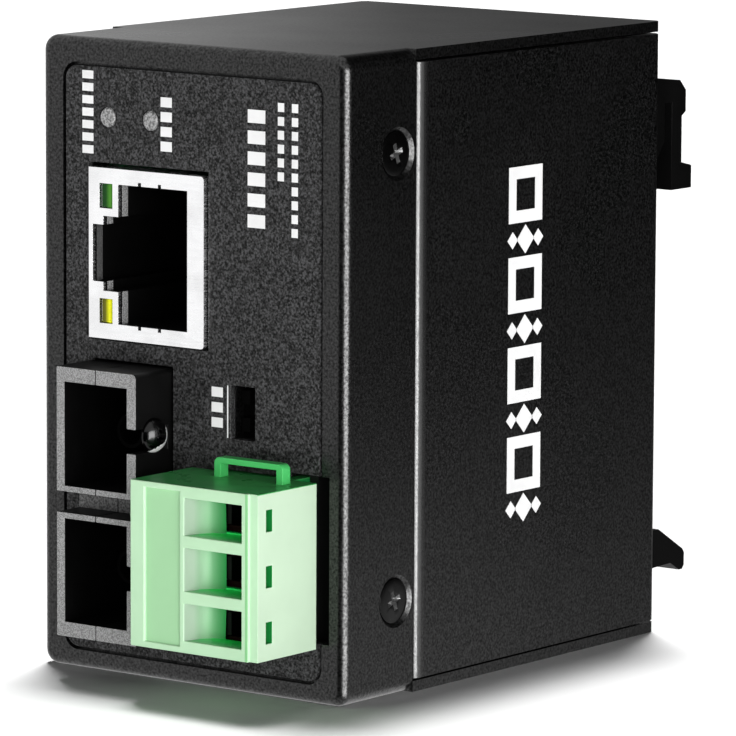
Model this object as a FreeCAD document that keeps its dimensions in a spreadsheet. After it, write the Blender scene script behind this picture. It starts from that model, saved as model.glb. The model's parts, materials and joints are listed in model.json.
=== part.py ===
"""Compact DIN-rail fibre media converter: one twisted-pair socket, one duplex fibre
transceiver, a two-lever option switch and a three-pole pluggable power terminal.

Frame, in millimetres: X to the right seen from the front, Y to the back, Z up.
The origin is the centre of the bottom plate, where the case stands.
"""
import FreeCAD, Part
import Sketcher
import math
import os

# Driving sizes.  Places are given from the front face, from the bottom plate or from
# the middle of the case.
SIZES = {
    # case
    "case_depth": 49.0,
    "head_room": 7.24,
    "corner_radius": 1.4,
    "front_edge_radius": 0.9,
    "sheet": 1.0,
    "front_wall": 2.0,
    "band_depth": 10.25,
    "plate_corner": 0.8,
    # inset front panel
    "panel_thickness": 0.8,
    "panel_side_border": 2.6,
    "panel_top_border": 2.3,
    "panel_bottom_border": 1.75,
    "panel_gap": 0.18,
    "panel_groove": 0.3,
    "panel_corner": 1.6,
    # cover
    "cover_proud": 0.15,
    "cover_gap": 0.2,
    "cover_edge_radius": 0.6,
    "cover_bend": 1.1,
    "cover_bend_inner": 0.3,
    "cover_tab": 7.2,
    # cover screws
    "screw_setback": 7.6,
    "screw_low": 8.8,
    "screw_drop": 9.3,
    "screw_mouth": 2.45,
    "screw_shank": 1.25,
    "screw_length": 3.0,
    "screw_sink": 0.2,
    "screw_slack": 0.06,
    "nut_radius": 2.1,
    "nut_height": 0.8,
    # boards
    "standoff_length": 3.55,
    "board_spacing": 25.0,
    "power_board_clearance": 2.55,
    "main_board_thickness": 1.6,
    "power_board_thickness": 1.2,
    "board_inset": 2.5,
    "board_rear_gap": 4.7,
    "board_edge_gap": 2.6,
    # twisted-pair socket, lying on its side with the latch to the left
    "socket_width": 13.6,
    "socket_height": 15.8,
    "socket_depth": 21.3,
    "socket_rise": 2.19,
    "socket_proud": 0.4,
    "socket_sheet": 0.35,
    "socket_clear": 0.4,
    "nick_width": 0.38,
    "nick_height": 0.33,
    "socket_mouth_width": 8.15,
    "socket_mouth_height": 12.95,
    "socket_mouth_inset": 1.93,
    "latch_step_depth": 1.78,
    "latch_step_height": 6.95,
    "latch_nose_depth": 1.25,
    "latch_nose_height": 5.3,
    "plug_bay_depth": 13.5,
    "led_width": 1.55,
    "led_height": 2.3,
    "led_inset": 1.28,
    "led_edge": 1.42,
    "led_length": 6.0,
    "contact_pitch": 1.02,
    "contact_wire": 0.35,
    "contact_reach": 9.5,
    "contact_fall": 2.45,
    "contact_curl": 2.5,
    # fibre transceiver
    "fibre_width": 9.45,
    "fibre_low": 4.05,
    "fibre_pitch": 12.7,
    "fibre_proud": 5.06,
    "fibre_mouth_width": 7.38,
    "fibre_mouth_height": 9.65,
    "fibre_left_wall": 0.97,
    "fibre_outer_wall": 1.38,
    "fibre_inner_wall": 0.55,
    "fibre_gap_depth": 3.2,
    "fibre_bay_depth": 12.5,
    "fibre_bulkhead": 2.5,
    "fibre_length": 38.0,
    "shell_joint": 0.06,
    "key_width": 2.25,
    "key_depth": 4.6,
    "sleeve_outer": 1.6,
    "sleeve_inner": 1.26,
    "sleeve_front": 5.0,
    "optic_radius": 2.9,
    "optic_length": 7.5,
    "optics_board_thickness": 1.0,
    # option switch
    "switch_setback": 8.58,
    "switch_width": 2.8,
    "switch_rise": 3.05,
    "switch_rim": 0.5,
    "switch_length": 5.0,
    "switch_height": 4.9,
    "lever_pitch": 2.54,
    "lever_width": 1.0,
    "lever_height": 1.3,
    "lever_travel": 1.1,
    "lever_proud": 0.8,
    # power terminal
    "pole_pitch": 5.08,
    "plug_overhang": 1.5,
    "plug_width": 14.5,
    "plug_low": 5.11,
    "plug_proud": 8.93,
    "plug_rear_gap": 0.1,
    "header_wall": 0.95,
    "header_width": 11.2,
    "header_slack": 0.15,
    "header_bay_depth": 8.5,
    "header_floor": 2.0,
    "header_set_in": 0.05,
    "notch_border": 1.75,
    "notch_low": 0.5,
    "notch_high": 0.6,
    "pin_size": 1.0,
    "pin_setback": 5.6,
    "pin_reach": 6.3,
    "pin_tail": 0.5,
    "funnel_border": 1.65,
    "funnel_width": 6.65,
    "funnel_depth": 3.2,
    "funnel_wall": 1.1,
    "clamp_screw_head": 1.75,
    "clamp_screw_head_height": 1.3,
    "clamp_screw_shank": 0.9,
    "clamp_travel": 2.0,
    "clamp_bar_gap": 1.2,
    "contact_tail": 4.9,
    "cage_wall": 0.55,
    "cage_width": 3.4,
    "cage_depth": 4.2,
    "loop_setback": 1.8,
    "loop_side": 1.6,
    "loop_width": 7.9,
    "loop_height": 1.85,
    "loop_bar": 0.75,
    "loop_thickness": 1.2,
    # light pipes
    "pipe_rise": 4.61,
    "pipe_setback": 1.86,
    "pipe_spacing": 5.04,
    "pipe_radius": 0.93,
    "pipe_gap": 0.05,
    "pipe_length": 4.0,
    "pipe_collar": 0.5,
    "led_block_depth": 5.0,
    "led_block_border": 1.6,
    # board furniture
    "pillar_inset": 5.0,
    "pillar_low": 7.0,
    "pillar_drop": 6.0,
    "pillar_front": 17.0,
    "spacer_radius": 2.5,
    "stud_radius": 1.0,
    "stud_slack": 0.06,
    "stud_depth": 2.5,
    "coil_side": 7.0,
    "coil_height": 4.5,
    "coil_gap": 6.0,
    "chip_side": 5.6,
    "chip_height": 1.0,
    "chip_low": 17.0,
    "transformer_length": 10.0,
    "transformer_width": 15.0,
    "transformer_height": 5.8,
    "transformer_gap": 1.5,
    "capacitor_length": 7.4,
    "capacitor_radius": 4.0,
    "capacitor_front": 12.0,
    "capacitor_pitch": 12.0,
    # rail clip
    "clip_width": 30.0,
    "clip_plate": 2.4,
    "rail_width": 35.0,
    "rail_edge": 9.4,
    "clip_rail_face": 4.8,
    "clip_slot": 1.2,
    "clip_slot_room": 6.2,
    "clip_roof": 2.45,
    "clip_hook_lap": 2.35,
    "clip_leg": 1.7,
    "clip_reach": 9.4,
    "clip_lug_width": 4.0,
    "clip_lug_top": 9.05,
    "clip_lug_low": 4.6,
    "clip_lug_dip": 0.7,
    "clip_lug_reach": 8.95,
    "clip_guide_width": 2.0,
    "clip_guide_lip": 1.2,
    "latch_width": 15.4,
    "latch_plate": 1.4,
    "latch_top": 20.5,
    "latch_low": 4.0,
    "latch_bridge": 2.0,
    "latch_lap": 1.5,
    "latch_slack": 0.12,
    "spring_thickness": 1.1,
    "spring_wire": 0.5,
    "spring_reach": 2.6,
    "spring_stop": 10.0,
    "clip_screw_low": 27.0,
    "clip_screw_pitch": 11.0,
    "clip_screw_head": 2.4,
}

doc = FreeCAD.newDocument("FibreMediaConverter")
sheet = doc.addObject("Spreadsheet::Sheet", "Sizes")


class Size:
    """A length: its formula over the sheet's cells, and its present value."""

    def __init__(self, formula, value):
        self.formula = formula
        self.value = value

    def __add__(self, other):
        other = size(other)
        return Size(f"({self.formula} + {other.formula})", self.value + other.value)

    def __sub__(self, other):
        other = size(other)
        return Size(f"({self.formula} - {other.formula})", self.value - other.value)

    def __mul__(self, factor):
        factor = size(factor)
        return Size(f"({self.formula} * {factor.formula})", self.value * factor.value)

    def __truediv__(self, divisor):
        divisor = size(divisor)
        return Size(f"({self.formula} / {divisor.formula})", self.value / divisor.value)

    def __radd__(self, other):
        return size(other) + self

    def __rsub__(self, other):
        return size(other) - self

    def __rmul__(self, factor):
        return size(factor) * self

    def __neg__(self):
        return Size(f"(0 - {self.formula})", -self.value)

    def __float__(self):
        return float(self.value)


def size(value):
    """A plain number or a Size, as a Size."""
    if isinstance(value, Size):
        return value
    return Size(f"({value!r})", float(value))


class Sheet:
    """The driving sizes by name, each tied to its own cell."""

    def __init__(self, table):
        for row, (alias, number) in enumerate(table.items(), start=1):
            sheet.set(f"A{row}", alias)
            sheet.set(f"B{row}", str(number))
            sheet.setAlias(f"B{row}", alias)
            setattr(self, alias, Size(f"Sizes.{alias}", number))
        doc.recompute()


s = Sheet(SIZES)


# ---------------------------------------------------------------- modelling helpers

def rect(left, right, low, high):
    """The four corners of an upright rectangle in a sketch plane."""
    return [(left, low), (right, low), (right, high), (left, high)]


def square_about(u, v, wide, tall):
    """A rectangle given by its middle."""
    return rect(u - size(wide) / 2, u + size(wide) / 2, v - size(tall) / 2, v + size(tall) / 2)


def hexagon(u, v, radius):
    """A six-sided outline about its middle, corner to corner twice the radius."""
    turns = [math.radians(60 * corner) for corner in range(6)]
    return [(u + radius * math.cos(turn), v + radius * math.sin(turn)) for turn in turns]


def point(x, y, z):
    """A point of the model, from Sizes or numbers."""
    return FreeCAD.Vector(float(x), float(y), float(z))


class Piece:
    """One PartDesign body, built up along the main axes."""

    def __init__(self, name):
        self.name = name
        self.body = doc.addObject("PartDesign::Body", name)
        self.body.Label = name
        self.count = 0

    def sketch(self, plane, offset, loops, circles=(), shift=(0, 0)):
        """A sketch on an origin plane, moved along it by offset and within it by shift.

        loops are closed runs of straight lines; circles are (u, v, radius).  Every
        corner, centre and radius is bound to its formula.
        """
        self.count += 1
        made = self.body.newObject("Sketcher::SketchObject", f"{self.name}_sketch{self.count}")
        for feature in self.body.Origin.OriginFeatures:
            if feature.Role == plane + "_Plane":
                made.AttachmentSupport = (feature, [""])
        made.MapMode = "FlatFace"
        made.setExpression(".AttachmentOffset.Base.x", size(shift[0]).formula)
        made.setExpression(".AttachmentOffset.Base.y", size(shift[1]).formula)
        made.setExpression(".AttachmentOffset.Base.z", size(offset).formula)
        lines, rules, formulas = [], [], []
        for loop in loops:
            first = len(lines)
            corners = [(size(u), size(v)) for u, v in loop]
            for at, (u, v) in enumerate(corners):
                to_u, to_v = corners[(at + 1) % len(corners)]
                lines.append(Part.LineSegment(point(u, v, 0), point(to_u, to_v, 0)))
                follower = first + (at + 1) % len(corners)
                rules.append(Sketcher.Constraint("Coincident", first + at, 2, follower, 1))
                formulas.append(None)
                rules.append(Sketcher.Constraint("DistanceX", -1, 1, first + at, 1, u.value))
                formulas.append(u.formula)
                rules.append(Sketcher.Constraint("DistanceY", -1, 1, first + at, 1, v.value))
                formulas.append(v.formula)
        for u, v, radius in circles:
            u, v, radius = size(u), size(v), size(radius)
            lines.append(Part.Circle(point(u, v, 0), FreeCAD.Vector(0, 0, 1), radius.value))
            at = len(lines) - 1
            rules.append(Sketcher.Constraint("DistanceX", -1, 1, at, 3, u.value))
            formulas.append(u.formula)
            rules.append(Sketcher.Constraint("DistanceY", -1, 1, at, 3, v.value))
            formulas.append(v.formula)
            rules.append(Sketcher.Constraint("Radius", at, radius.value))
            formulas.append(radius.formula)
        made.addGeometry(lines, False)
        made.addConstraint(rules)
        for number, formula in enumerate(formulas):
            if formula is not None:
                made.setExpression(f"Constraints[{number}]", formula)
        return made

    def pad(self, plane, start, end, loops=(), circles=()):
        """Adds material between two places along the plane's axis."""
        start, end = size(start), size(end)
        offset = -end if plane == "XZ" else start
        feature = self.body.newObject("PartDesign::Pad", f"{self.name}_pad{self.count + 1}")
        feature.Profile = self.sketch(plane, offset, loops, circles)
        feature.setExpression("Length", (end - start).formula)
        self.body.Tip = feature
        return feature

    def cut(self, plane, start, end, loops=(), circles=()):
        """Takes material away between two places along the plane's axis."""
        start, end = size(start), size(end)
        offset = -start if plane == "XZ" else end
        feature = self.body.newObject("PartDesign::Pocket", f"{self.name}_cut{self.count + 1}")
        feature.Profile = self.sketch(plane, offset, loops, circles)
        feature.setExpression("Length", (end - start).formula)
        self.body.Tip = feature
        return feature

    def turn(self, axis, centre, profile, cutting=False):
        """Revolves a profile of (along, radius) corners about a line along an axis.

        centre gives the line's place: (y, z) for X, (x, z) for Y and (x, y) for Z.
        """
        if axis == "X":
            plane, shift, offset, about = "XY", (0, centre[0]), centre[1], "H_Axis"
            loop = profile
        elif axis == "Y":
            plane, shift, offset, about = "XY", (centre[0], 0), centre[1], "V_Axis"
            loop = [(radius, along) for along, radius in profile]
        else:
            plane, shift, offset, about = "XZ", (centre[0], 0), -size(centre[1]), "V_Axis"
            loop = [(radius, along) for along, radius in profile]
        kind = "PartDesign::Groove" if cutting else "PartDesign::Revolution"
        feature = self.body.newObject(kind, f"{self.name}_turn{self.count + 1}")
        feature.Profile = self.sketch(plane, offset, [loop], shift=shift)
        feature.ReferenceAxis = (feature.Profile[0], [about])
        feature.Angle = 360
        self.body.Tip = feature
        return feature

    def edges_through(self, places):
        """Names of the edges of the piece so far that pass through given points."""
        doc.recompute()
        edges = self.body.Tip.Shape.Edges
        names = []
        for place in places:
            vertex = Part.Vertex(point(*place))
            for number, edge in enumerate(edges, start=1):
                if edge.distToShape(vertex)[0] < 1e-4 and f"Edge{number}" not in names:
                    names.append(f"Edge{number}")
        return names

    def dress(self, kind, amount, names):
        tip = self.body.Tip
        feature = self.body.newObject(f"PartDesign::{kind}", f"{self.name}_{kind}{tip.Name[-1]}")
        feature.Base = (tip, names)
        feature.setExpression("Radius" if kind == "Fillet" else "Size", size(amount).formula)
        self.body.Tip = feature
        return feature

    def fillet(self, radius, *places):
        """Rounds the edges that pass through the given points."""
        return self.dress("Fillet", radius, self.edges_through(places))

    def chamfer(self, amount, *places):
        """Bevels the edges that pass through the given points."""
        return self.dress("Chamfer", amount, self.edges_through(places))


def block(name, x, y, z):
    """A plain box between pairs of places."""
    made = doc.addObject("Part::Box", name)
    made.Label = name
    for prop, side, (low, high) in (("Length", "x", x), ("Width", "y", y), ("Height", "z", z)):
        low, high = size(low), size(high)
        made.setExpression(prop, (high - low).formula)
        made.setExpression(f"Placement.Base.{side}", low.formula)
    return made


def group(name, members):
    """Several separate solids kept under one name."""
    made = doc.addObject("Part::Compound", name)
    made.Label = name
    made.Links = members
    return made


# ---------------------------------------------------------------- shared places

front = -s.case_depth / 2
back = s.case_depth / 2
wall_back = front + s.front_wall
panel_back = front + s.panel_thickness
band_back = front + s.band_depth

# across: both boards between the cover's two sides
cover_inside = (s.standoff_length + s.main_board_thickness + s.board_spacing
                + s.power_board_thickness + s.power_board_clearance) / 2
cover_side = cover_inside + s.sheet
side = cover_side - s.cover_proud
board_face = -cover_inside + s.standoff_length + s.main_board_thickness
board_right = board_face + s.board_spacing
board_front = wall_back + s.board_inset
board_back = back - s.board_rear_gap

# up: the fibre ports, the socket over them and the indicators over that
fibre_left = board_face
fibre_right = fibre_left + s.fibre_width
fibre_mouth_left = fibre_left + s.fibre_left_wall
fibre_mouth_right = fibre_mouth_left + s.fibre_mouth_width
fibre_split = (fibre_mouth_left + fibre_mouth_right) / 2
fibre_lower_mouth = s.fibre_low + s.fibre_outer_wall
fibre_lower_axis = fibre_lower_mouth + s.fibre_mouth_height / 2
fibre_upper_axis = fibre_lower_axis + s.fibre_pitch
fibre_high = fibre_upper_axis + s.fibre_mouth_height / 2 + s.fibre_outer_wall
fibre_axes = (fibre_lower_axis, fibre_upper_axis)
fibre_front = front - s.fibre_proud
fibre_back = fibre_front + s.fibre_length
fibre_bay_back = fibre_front + s.fibre_bay_depth
optic_front = fibre_bay_back + s.fibre_bulkhead

socket_left = board_face
socket_right = socket_left + s.socket_width
socket_low = fibre_high + s.socket_rise
socket_high = socket_low + s.socket_height
socket_middle = socket_low + s.socket_height / 2
socket_front = front - s.socket_proud
socket_back = socket_front + s.socket_depth
mouth_right = socket_right - s.socket_mouth_inset
mouth_left = mouth_right - s.socket_mouth_width
step_left = mouth_left - s.latch_step_depth
nose_left = step_left - s.latch_nose_depth

pipe_high = socket_high + s.pipe_rise
pipe_x = [board_face + s.pipe_setback, board_face + s.pipe_setback + s.pipe_spacing]
top = pipe_high + s.head_room
board_low = s.board_edge_gap
board_high = top - s.board_edge_gap

cover_front = band_back + s.cover_gap
cover_low = s.sheet + s.cover_gap
cover_high = top - s.sheet - s.cover_gap
tab_outer = side - s.sheet - s.cover_gap
tab_inner = tab_outer - s.sheet
screw_y = front + s.screw_setback
screw_high = top - s.screw_drop
screw_rim = 0.15
screw_head = s.screw_mouth - s.screw_sink - screw_rim - s.screw_slack

# the power terminal, on the right-hand board
header_right = board_right
header_left = header_right - s.header_width
pin_axis = header_right - s.pin_setback
plug_right = header_right + s.plug_overhang
plug_left = plug_right - s.plug_width
plug_high = s.plug_low + 3 * s.pole_pitch
plug_front = front - s.plug_proud
plug_back = front - s.plug_rear_gap
pole_middle = s.plug_low + 1.5 * s.pole_pitch
poles = [pole_middle - s.pole_pitch, pole_middle, pole_middle + s.pole_pitch]
header_low = s.plug_low - s.header_slack - s.header_wall
header_high = plug_high + s.header_slack + s.header_wall
header_front = wall_back + s.header_set_in
header_bay_back = front + s.header_bay_depth
header_back = header_bay_back + s.header_floor
bay_left = header_left + s.header_wall
bay_right = header_right - s.header_wall
bay_low = header_low + s.header_wall
bay_high = header_high - s.header_wall
insert_left = bay_left + s.header_slack
insert_right = bay_right - s.header_slack
insert_back = header_bay_back - 2 * s.header_slack
funnel_right = plug_right - s.funnel_border
funnel_left = funnel_right - s.funnel_width
chamber_front = plug_front + s.funnel_depth
cage_play = 0.2
chamber_back = chamber_front + s.cage_depth + 2 * cage_play
clamp_y = chamber_front + cage_play + s.cage_depth / 2
contact_half = s.cage_width / 2 - s.cage_wall - cage_play / 2

# the option switch, over the terminal
switch_left = board_right - s.switch_setback
switch_right = switch_left + s.switch_width
switch_low = plug_high + s.switch_rise
switch_high = switch_low + s.switch_height
switch_middle = switch_low + s.switch_height / 2
switch_face = wall_back + s.panel_gap / 2

# pillars between the boards, given as (y, z)
pillars = [(board_back - s.pillar_inset, s.pillar_low),
           (board_back - s.pillar_inset, top - s.pillar_drop - s.board_edge_gap),
           (front + s.pillar_front, top - s.pillar_drop)]

# the rail clip
rail_face = back + s.clip_rail_face
rail_rear = rail_face + s.clip_slot
rail_high = s.rail_edge + s.rail_width
hook_foot = rail_high - s.clip_hook_lap
slot_top = rail_high + s.clip_slot_room
clip_top = slot_top + s.clip_roof
clip_low = s.clip_lug_low + s.clip_lug_dip
clip_screw_places = [s.clip_screw_low, s.clip_screw_low + s.clip_screw_pitch]


# ---------------------------------------------------------------- case

def make_front_housing():
    """The black front box with its top and bottom plates and short side bands."""
    piece = Piece("front_housing")
    piece.pad("XZ", front, band_back, [rect(-side, side, 0, top)])
    half_way = (front + band_back) / 2
    piece.fillet(s.corner_radius, (side, half_way, 0), (-side, half_way, 0),
                 (side, half_way, top), (-side, half_way, top))
    middle = top / 2
    piece.fillet(s.front_edge_radius, (side, front, middle), (-side, front, middle),
                 (0, front, 0), (0, front, top))
    piece.cut("XZ", wall_back, band_back,
              [rect(-side + s.sheet, side - s.sheet, s.sheet, top - s.sheet)])
    piece.cut("XZ", front, panel_back, [rect(
        -side + s.panel_side_border, side - s.panel_side_border,
        s.panel_bottom_border, top - s.panel_top_border)])
    piece.fillet(s.panel_corner, *[
        (x, front + s.panel_thickness / 2, z)
        for x in (side - s.panel_side_border, -side + s.panel_side_border)
        for z in (s.panel_bottom_border, top - s.panel_top_border)])
    cut_openings(piece, front, wall_back)
    for low, high in ((0, s.sheet), (top - s.sheet, top)):
        piece.pad("XY", low, high, [rect(-side, side, band_back, back)])
    piece.fillet(s.plate_corner, *[(x, back, z) for x in (side, -side)
                                   for z in (s.sheet / 2, top - s.sheet / 2)])
    for sign in (1, -1):
        for z in (s.screw_low, screw_high):
            deep = s.sheet + 0.2
            slope = s.screw_mouth - s.screw_shank - 0.2
            piece.turn("X", (screw_y, z), [
                (sign * (side + 0.1), 0), (sign * (side + 0.1), s.screw_mouth),
                (sign * side, s.screw_mouth), (sign * (side - slope), s.screw_mouth - slope),
                (sign * (side - deep), s.screw_mouth - slope), (sign * (side - deep), 0)],
                cutting=True)
    return piece


def span(sign, near, far):
    """Two places on one side of the middle, in rising order."""
    if sign > 0:
        return near, far
    return -size(far), -size(near)


def cut_openings(piece, start, end):
    """The mouths for the connectors, the option switch and the light pipes."""
    gap = s.panel_gap
    clear = s.socket_clear
    piece.cut("XZ", start, end, [
        rect(socket_left - clear, socket_right + gap, socket_low - gap, socket_high + clear),
        rect(fibre_left - gap, fibre_right + gap, s.fibre_low - gap, fibre_high + gap),
        rect(switch_left, switch_right, switch_low, switch_high),
        rect(bay_left, bay_right, bay_low, bay_high)],
        circles=[(x, pipe_high, s.pipe_radius + s.pipe_gap) for x in pipe_x])
    # the terminal's opening runs on to the right, past the edge of the panel
    piece.cut("XZ", start, end, [rect(
        bay_right - 1, side - s.notch_border, s.plug_low + s.notch_low, plug_high + s.notch_high)])


def make_front_panel():
    """The inset panel that carries the markings."""
    gap = s.panel_groove
    left = -side + s.panel_side_border + gap
    low = s.panel_bottom_border + gap
    high = top - s.panel_top_border - gap
    piece = Piece("front_panel")
    piece.pad("XZ", front, panel_back, [rect(left, -left, low, high)])
    middle = front + s.panel_thickness / 2
    piece.fillet(s.panel_corner - gap, (left, middle, low), (left, middle, high),
                 (-left, middle, low), (-left, middle, high))
    cut_openings(piece, front, panel_back)
    return piece


def make_rear_cover():
    """The folded cover: two sides and the back, with stepped tabs under the bands."""
    inner = cover_side - s.sheet
    tab_front = cover_front - s.cover_tab
    piece = Piece("rear_cover")
    piece.pad("XY", cover_low, cover_high, [[
        (cover_side, cover_front), (cover_side, back), (-cover_side, back),
        (-cover_side, cover_front), (-tab_outer, cover_front), (-tab_outer, tab_front),
        (-tab_inner, tab_front), (-tab_inner, cover_front + s.sheet),
        (-inner, cover_front + s.sheet), (-inner, back - s.sheet), (inner, back - s.sheet),
        (inner, cover_front + s.sheet), (tab_inner, cover_front + s.sheet),
        (tab_inner, tab_front), (tab_outer, tab_front), (tab_outer, cover_front)]])
    middle = top / 2
    piece.fillet(s.cover_bend, (cover_side, back, middle), (-cover_side, back, middle))
    piece.fillet(s.cover_bend_inner, (inner, back - s.sheet, middle),
                 (-inner, back - s.sheet, middle))
    piece.fillet(s.cover_edge_radius, (cover_side, cover_front, middle),
                 (-cover_side, cover_front, middle))
    # a pressed hexagonal nut behind each screw
    hole = s.screw_shank + s.screw_slack
    nut_side = tab_inner - s.nut_height
    nut_back = back - s.sheet - s.nut_height
    for sign in (1, -1):
        piece.pad("YZ", *span(sign, nut_side, tab_inner),
                  [hexagon(screw_y, z, s.nut_radius) for z in (s.screw_low, screw_high)])
        piece.cut("YZ", *span(sign, nut_side, tab_outer),
                  circles=[(screw_y, z, hole) for z in (s.screw_low, screw_high)])
    piece.pad("XZ", nut_back, back - s.sheet,
              [hexagon(0, z, s.nut_radius) for z in clip_screw_places])
    piece.cut("XZ", nut_back, back, circles=[(0, z, hole) for z in clip_screw_places])
    return piece


def phillips(piece, plane, start, end, centre, reach):
    """A cross recess in a screw head."""
    u, v = centre
    arm = size(reach) / 4.5
    reach = size(reach)
    piece.cut(plane, start, end, [[
        (u - arm, v - reach), (u + arm, v - reach), (u + arm, v - arm), (u + reach, v - arm),
        (u + reach, v + arm), (u + arm, v + arm), (u + arm, v + reach), (u - arm, v + reach),
        (u - arm, v + arm), (u - reach, v + arm), (u - reach, v - arm), (u - arm, v - arm)]])


def make_cover_screws():
    """Four countersunk cross-head screws, two on each side."""
    made = []
    for sign, word in ((1, "right"), (-1, "left")):
        for z, level in ((s.screw_low, "low"), (screw_high, "high")):
            piece = Piece(f"cover_screw_{word}_{level}")
            face = side - s.screw_sink
            piece.turn("X", (screw_y, z), [
                (sign * face, 0), (sign * face, screw_head - screw_rim),
                (sign * (face - screw_rim), screw_head), (sign * (side - s.sheet), s.screw_shank),
                (sign * (face - s.screw_length), s.screw_shank),
                (sign * (face - s.screw_length), 0)])
            phillips(piece, "YZ", *span(sign, face - 0.7, face), (screw_y, z),
                     screw_head * 0.6)
            made.append(piece)
    return made


# ---------------------------------------------------------------- twisted-pair socket

def socket_mouth():
    """The stepped mouth that lets the plug and its latch in, latch to the left."""
    low = socket_middle - s.socket_mouth_height / 2
    high = socket_middle + s.socket_mouth_height / 2
    step_low = socket_middle - s.latch_step_height / 2
    step_high = socket_middle + s.latch_step_height / 2
    nose_low = socket_middle - s.latch_nose_height / 2
    nose_high = socket_middle + s.latch_nose_height / 2
    return [(mouth_right, low), (mouth_right, high), (mouth_left, high), (mouth_left, step_high),
            (step_left, step_high), (step_left, nose_high), (nose_left, nose_high),
            (nose_left, nose_low), (step_left, nose_low), (step_left, step_low),
            (mouth_left, step_low), (mouth_left, low)]


def led_windows():
    """The two indicator windows beside the latch, lower and upper."""
    left = socket_left + s.led_inset
    right = left + s.led_width
    low = socket_low + s.led_edge
    high = socket_high - s.led_edge
    return [rect(left, right, low, low + s.led_height), rect(left, right, high - s.led_height, high)]


def make_socket_shield():
    """The plated can, open towards its board."""
    sheet_t = s.socket_sheet
    piece = Piece("socket_shield")
    piece.pad("XZ", socket_front, socket_back,
              [rect(socket_left, socket_right, socket_low, socket_high)])
    half_way = (socket_front + socket_back) / 2
    piece.fillet(sheet_t, (socket_right, half_way, socket_low),
                 (socket_right, half_way, socket_high))
    piece.cut("XZ", socket_front + sheet_t, socket_back - sheet_t, [rect(
        socket_left, socket_right - sheet_t, socket_low + sheet_t, socket_high - sheet_t)])
    piece.cut("XZ", socket_front, socket_front + sheet_t, [socket_mouth()] + led_windows())
    nicks = []
    for share in (0.31, 0.6):
        x = mouth_left + s.socket_mouth_width * share
        for sign in (1, -1):
            edge = socket_middle + sign * s.socket_mouth_height / 2
            nicks.append(square_about(x, edge, s.nick_width, 2 * s.nick_height))
    piece.cut("XZ", socket_front, socket_front + sheet_t, nicks)
    return piece


def make_socket_insert():
    """The moulded body inside the can, with the plug bay and the indicator channels."""
    play = 0.03
    start = socket_front + s.socket_sheet + play
    piece = Piece("socket_insert")
    piece.pad("XZ", start, socket_back - s.socket_sheet - play, [rect(
        socket_left + play, socket_right - s.socket_sheet - play,
        socket_low + s.socket_sheet + play, socket_high - s.socket_sheet - play)])
    piece.cut("XZ", start, socket_front + s.plug_bay_depth, [socket_mouth()])
    piece.cut("XZ", start, socket_front + s.socket_sheet + s.led_length, led_windows())
    return piece


def make_socket_leds():
    """The green and the yellow indicator in the socket's face."""
    made = []
    play = 0.04
    for name, loop in zip(("socket_led_yellow", "socket_led_green"), led_windows()):
        (left, low), _, (right, high), _ = loop
        made.append(block(name, (left + play, right - play),
                          (socket_front + 0.12, socket_front + s.socket_sheet + s.led_length),
                          (low + play, high - play)))
    return made


def make_socket_contacts():
    """Eight sprung wires that slope into the plug bay from its right wall."""
    wires = []
    bay_back = socket_front + s.plug_bay_depth
    thick = s.contact_wire
    rise = s.contact_fall
    curl = bay_back - s.contact_curl
    count = 8
    for number in range(count):
        piece = Piece(f"socket_wire_{number + 1}")
        z = socket_middle + (number - (count - 1) / 2) * s.contact_pitch
        tip = bay_back - s.contact_reach
        piece.pad("XY", z - thick / 2, z + thick / 2, [[
            (mouth_right, tip), (mouth_right, tip + thick * 1.5),
            (mouth_right - rise + thick / 2, curl), (mouth_right - rise, bay_back),
            (mouth_right - rise - thick, bay_back), (mouth_right - rise - thick / 2, curl - 0.3),
            (mouth_right - thick, tip)]])
        wires.append(piece.body)
    return group("socket_contacts", wires)


# ---------------------------------------------------------------- fibre transceiver

def fibre_mouth(axis, left, right):
    return rect(left, right, axis - s.fibre_mouth_height / 2, axis + s.fibre_mouth_height / 2)


def make_fibre_shell(name, left, right):
    """Half of the duplex housing, from its outer wall to the joint down its middle."""
    piece = Piece(name)
    piece.pad("XZ", fibre_front, fibre_back, [rect(left, right, s.fibre_low, fibre_high)])
    bay_left = max((left, fibre_mouth_left), key=float)
    bay_right = min((right, fibre_mouth_right), key=float)
    bays = [fibre_mouth(axis, bay_left, bay_right) for axis in fibre_axes]
    piece.cut("XZ", fibre_front, fibre_bay_back, bays)
    inner = s.fibre_inner_wall
    gap_low = fibre_lower_axis + s.fibre_mouth_height / 2 + inner
    gap_high = fibre_upper_axis - s.fibre_mouth_height / 2 - inner
    piece.cut("XZ", fibre_front, fibre_front + s.fibre_gap_depth,
              [rect(left, right, gap_low, gap_high)])
    room_low = s.fibre_low + s.fibre_outer_wall
    room_high = fibre_high - s.fibre_outer_wall
    piece.cut("XZ", optic_front, fibre_back, [rect(bay_left, bay_right, room_low, room_high)])
    for axis in fibre_axes:
        piece.turn("Y", (fibre_split, axis), [
            (fibre_bay_back - 0.5, 0), (fibre_bay_back - 0.5, s.sleeve_outer + s.stud_slack),
            (optic_front + 0.1, s.sleeve_outer + s.stud_slack), (optic_front + 0.1, 0)],
            cutting=True)
    return piece


def make_fibre_shells():
    """The two half shells; the right one has the key slots and the screw."""
    half = s.shell_joint / 2
    left = make_fibre_shell("fibre_shell_left", fibre_left, fibre_split - half)
    right = make_fibre_shell("fibre_shell_right", fibre_split + half, fibre_right)
    right.cut("XZ", fibre_front, fibre_front + s.key_depth, [
        rect(fibre_mouth_right, fibre_right, axis - s.key_width / 2, axis + s.key_width / 2)
        for axis in fibre_axes])
    return [left, right]


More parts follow.
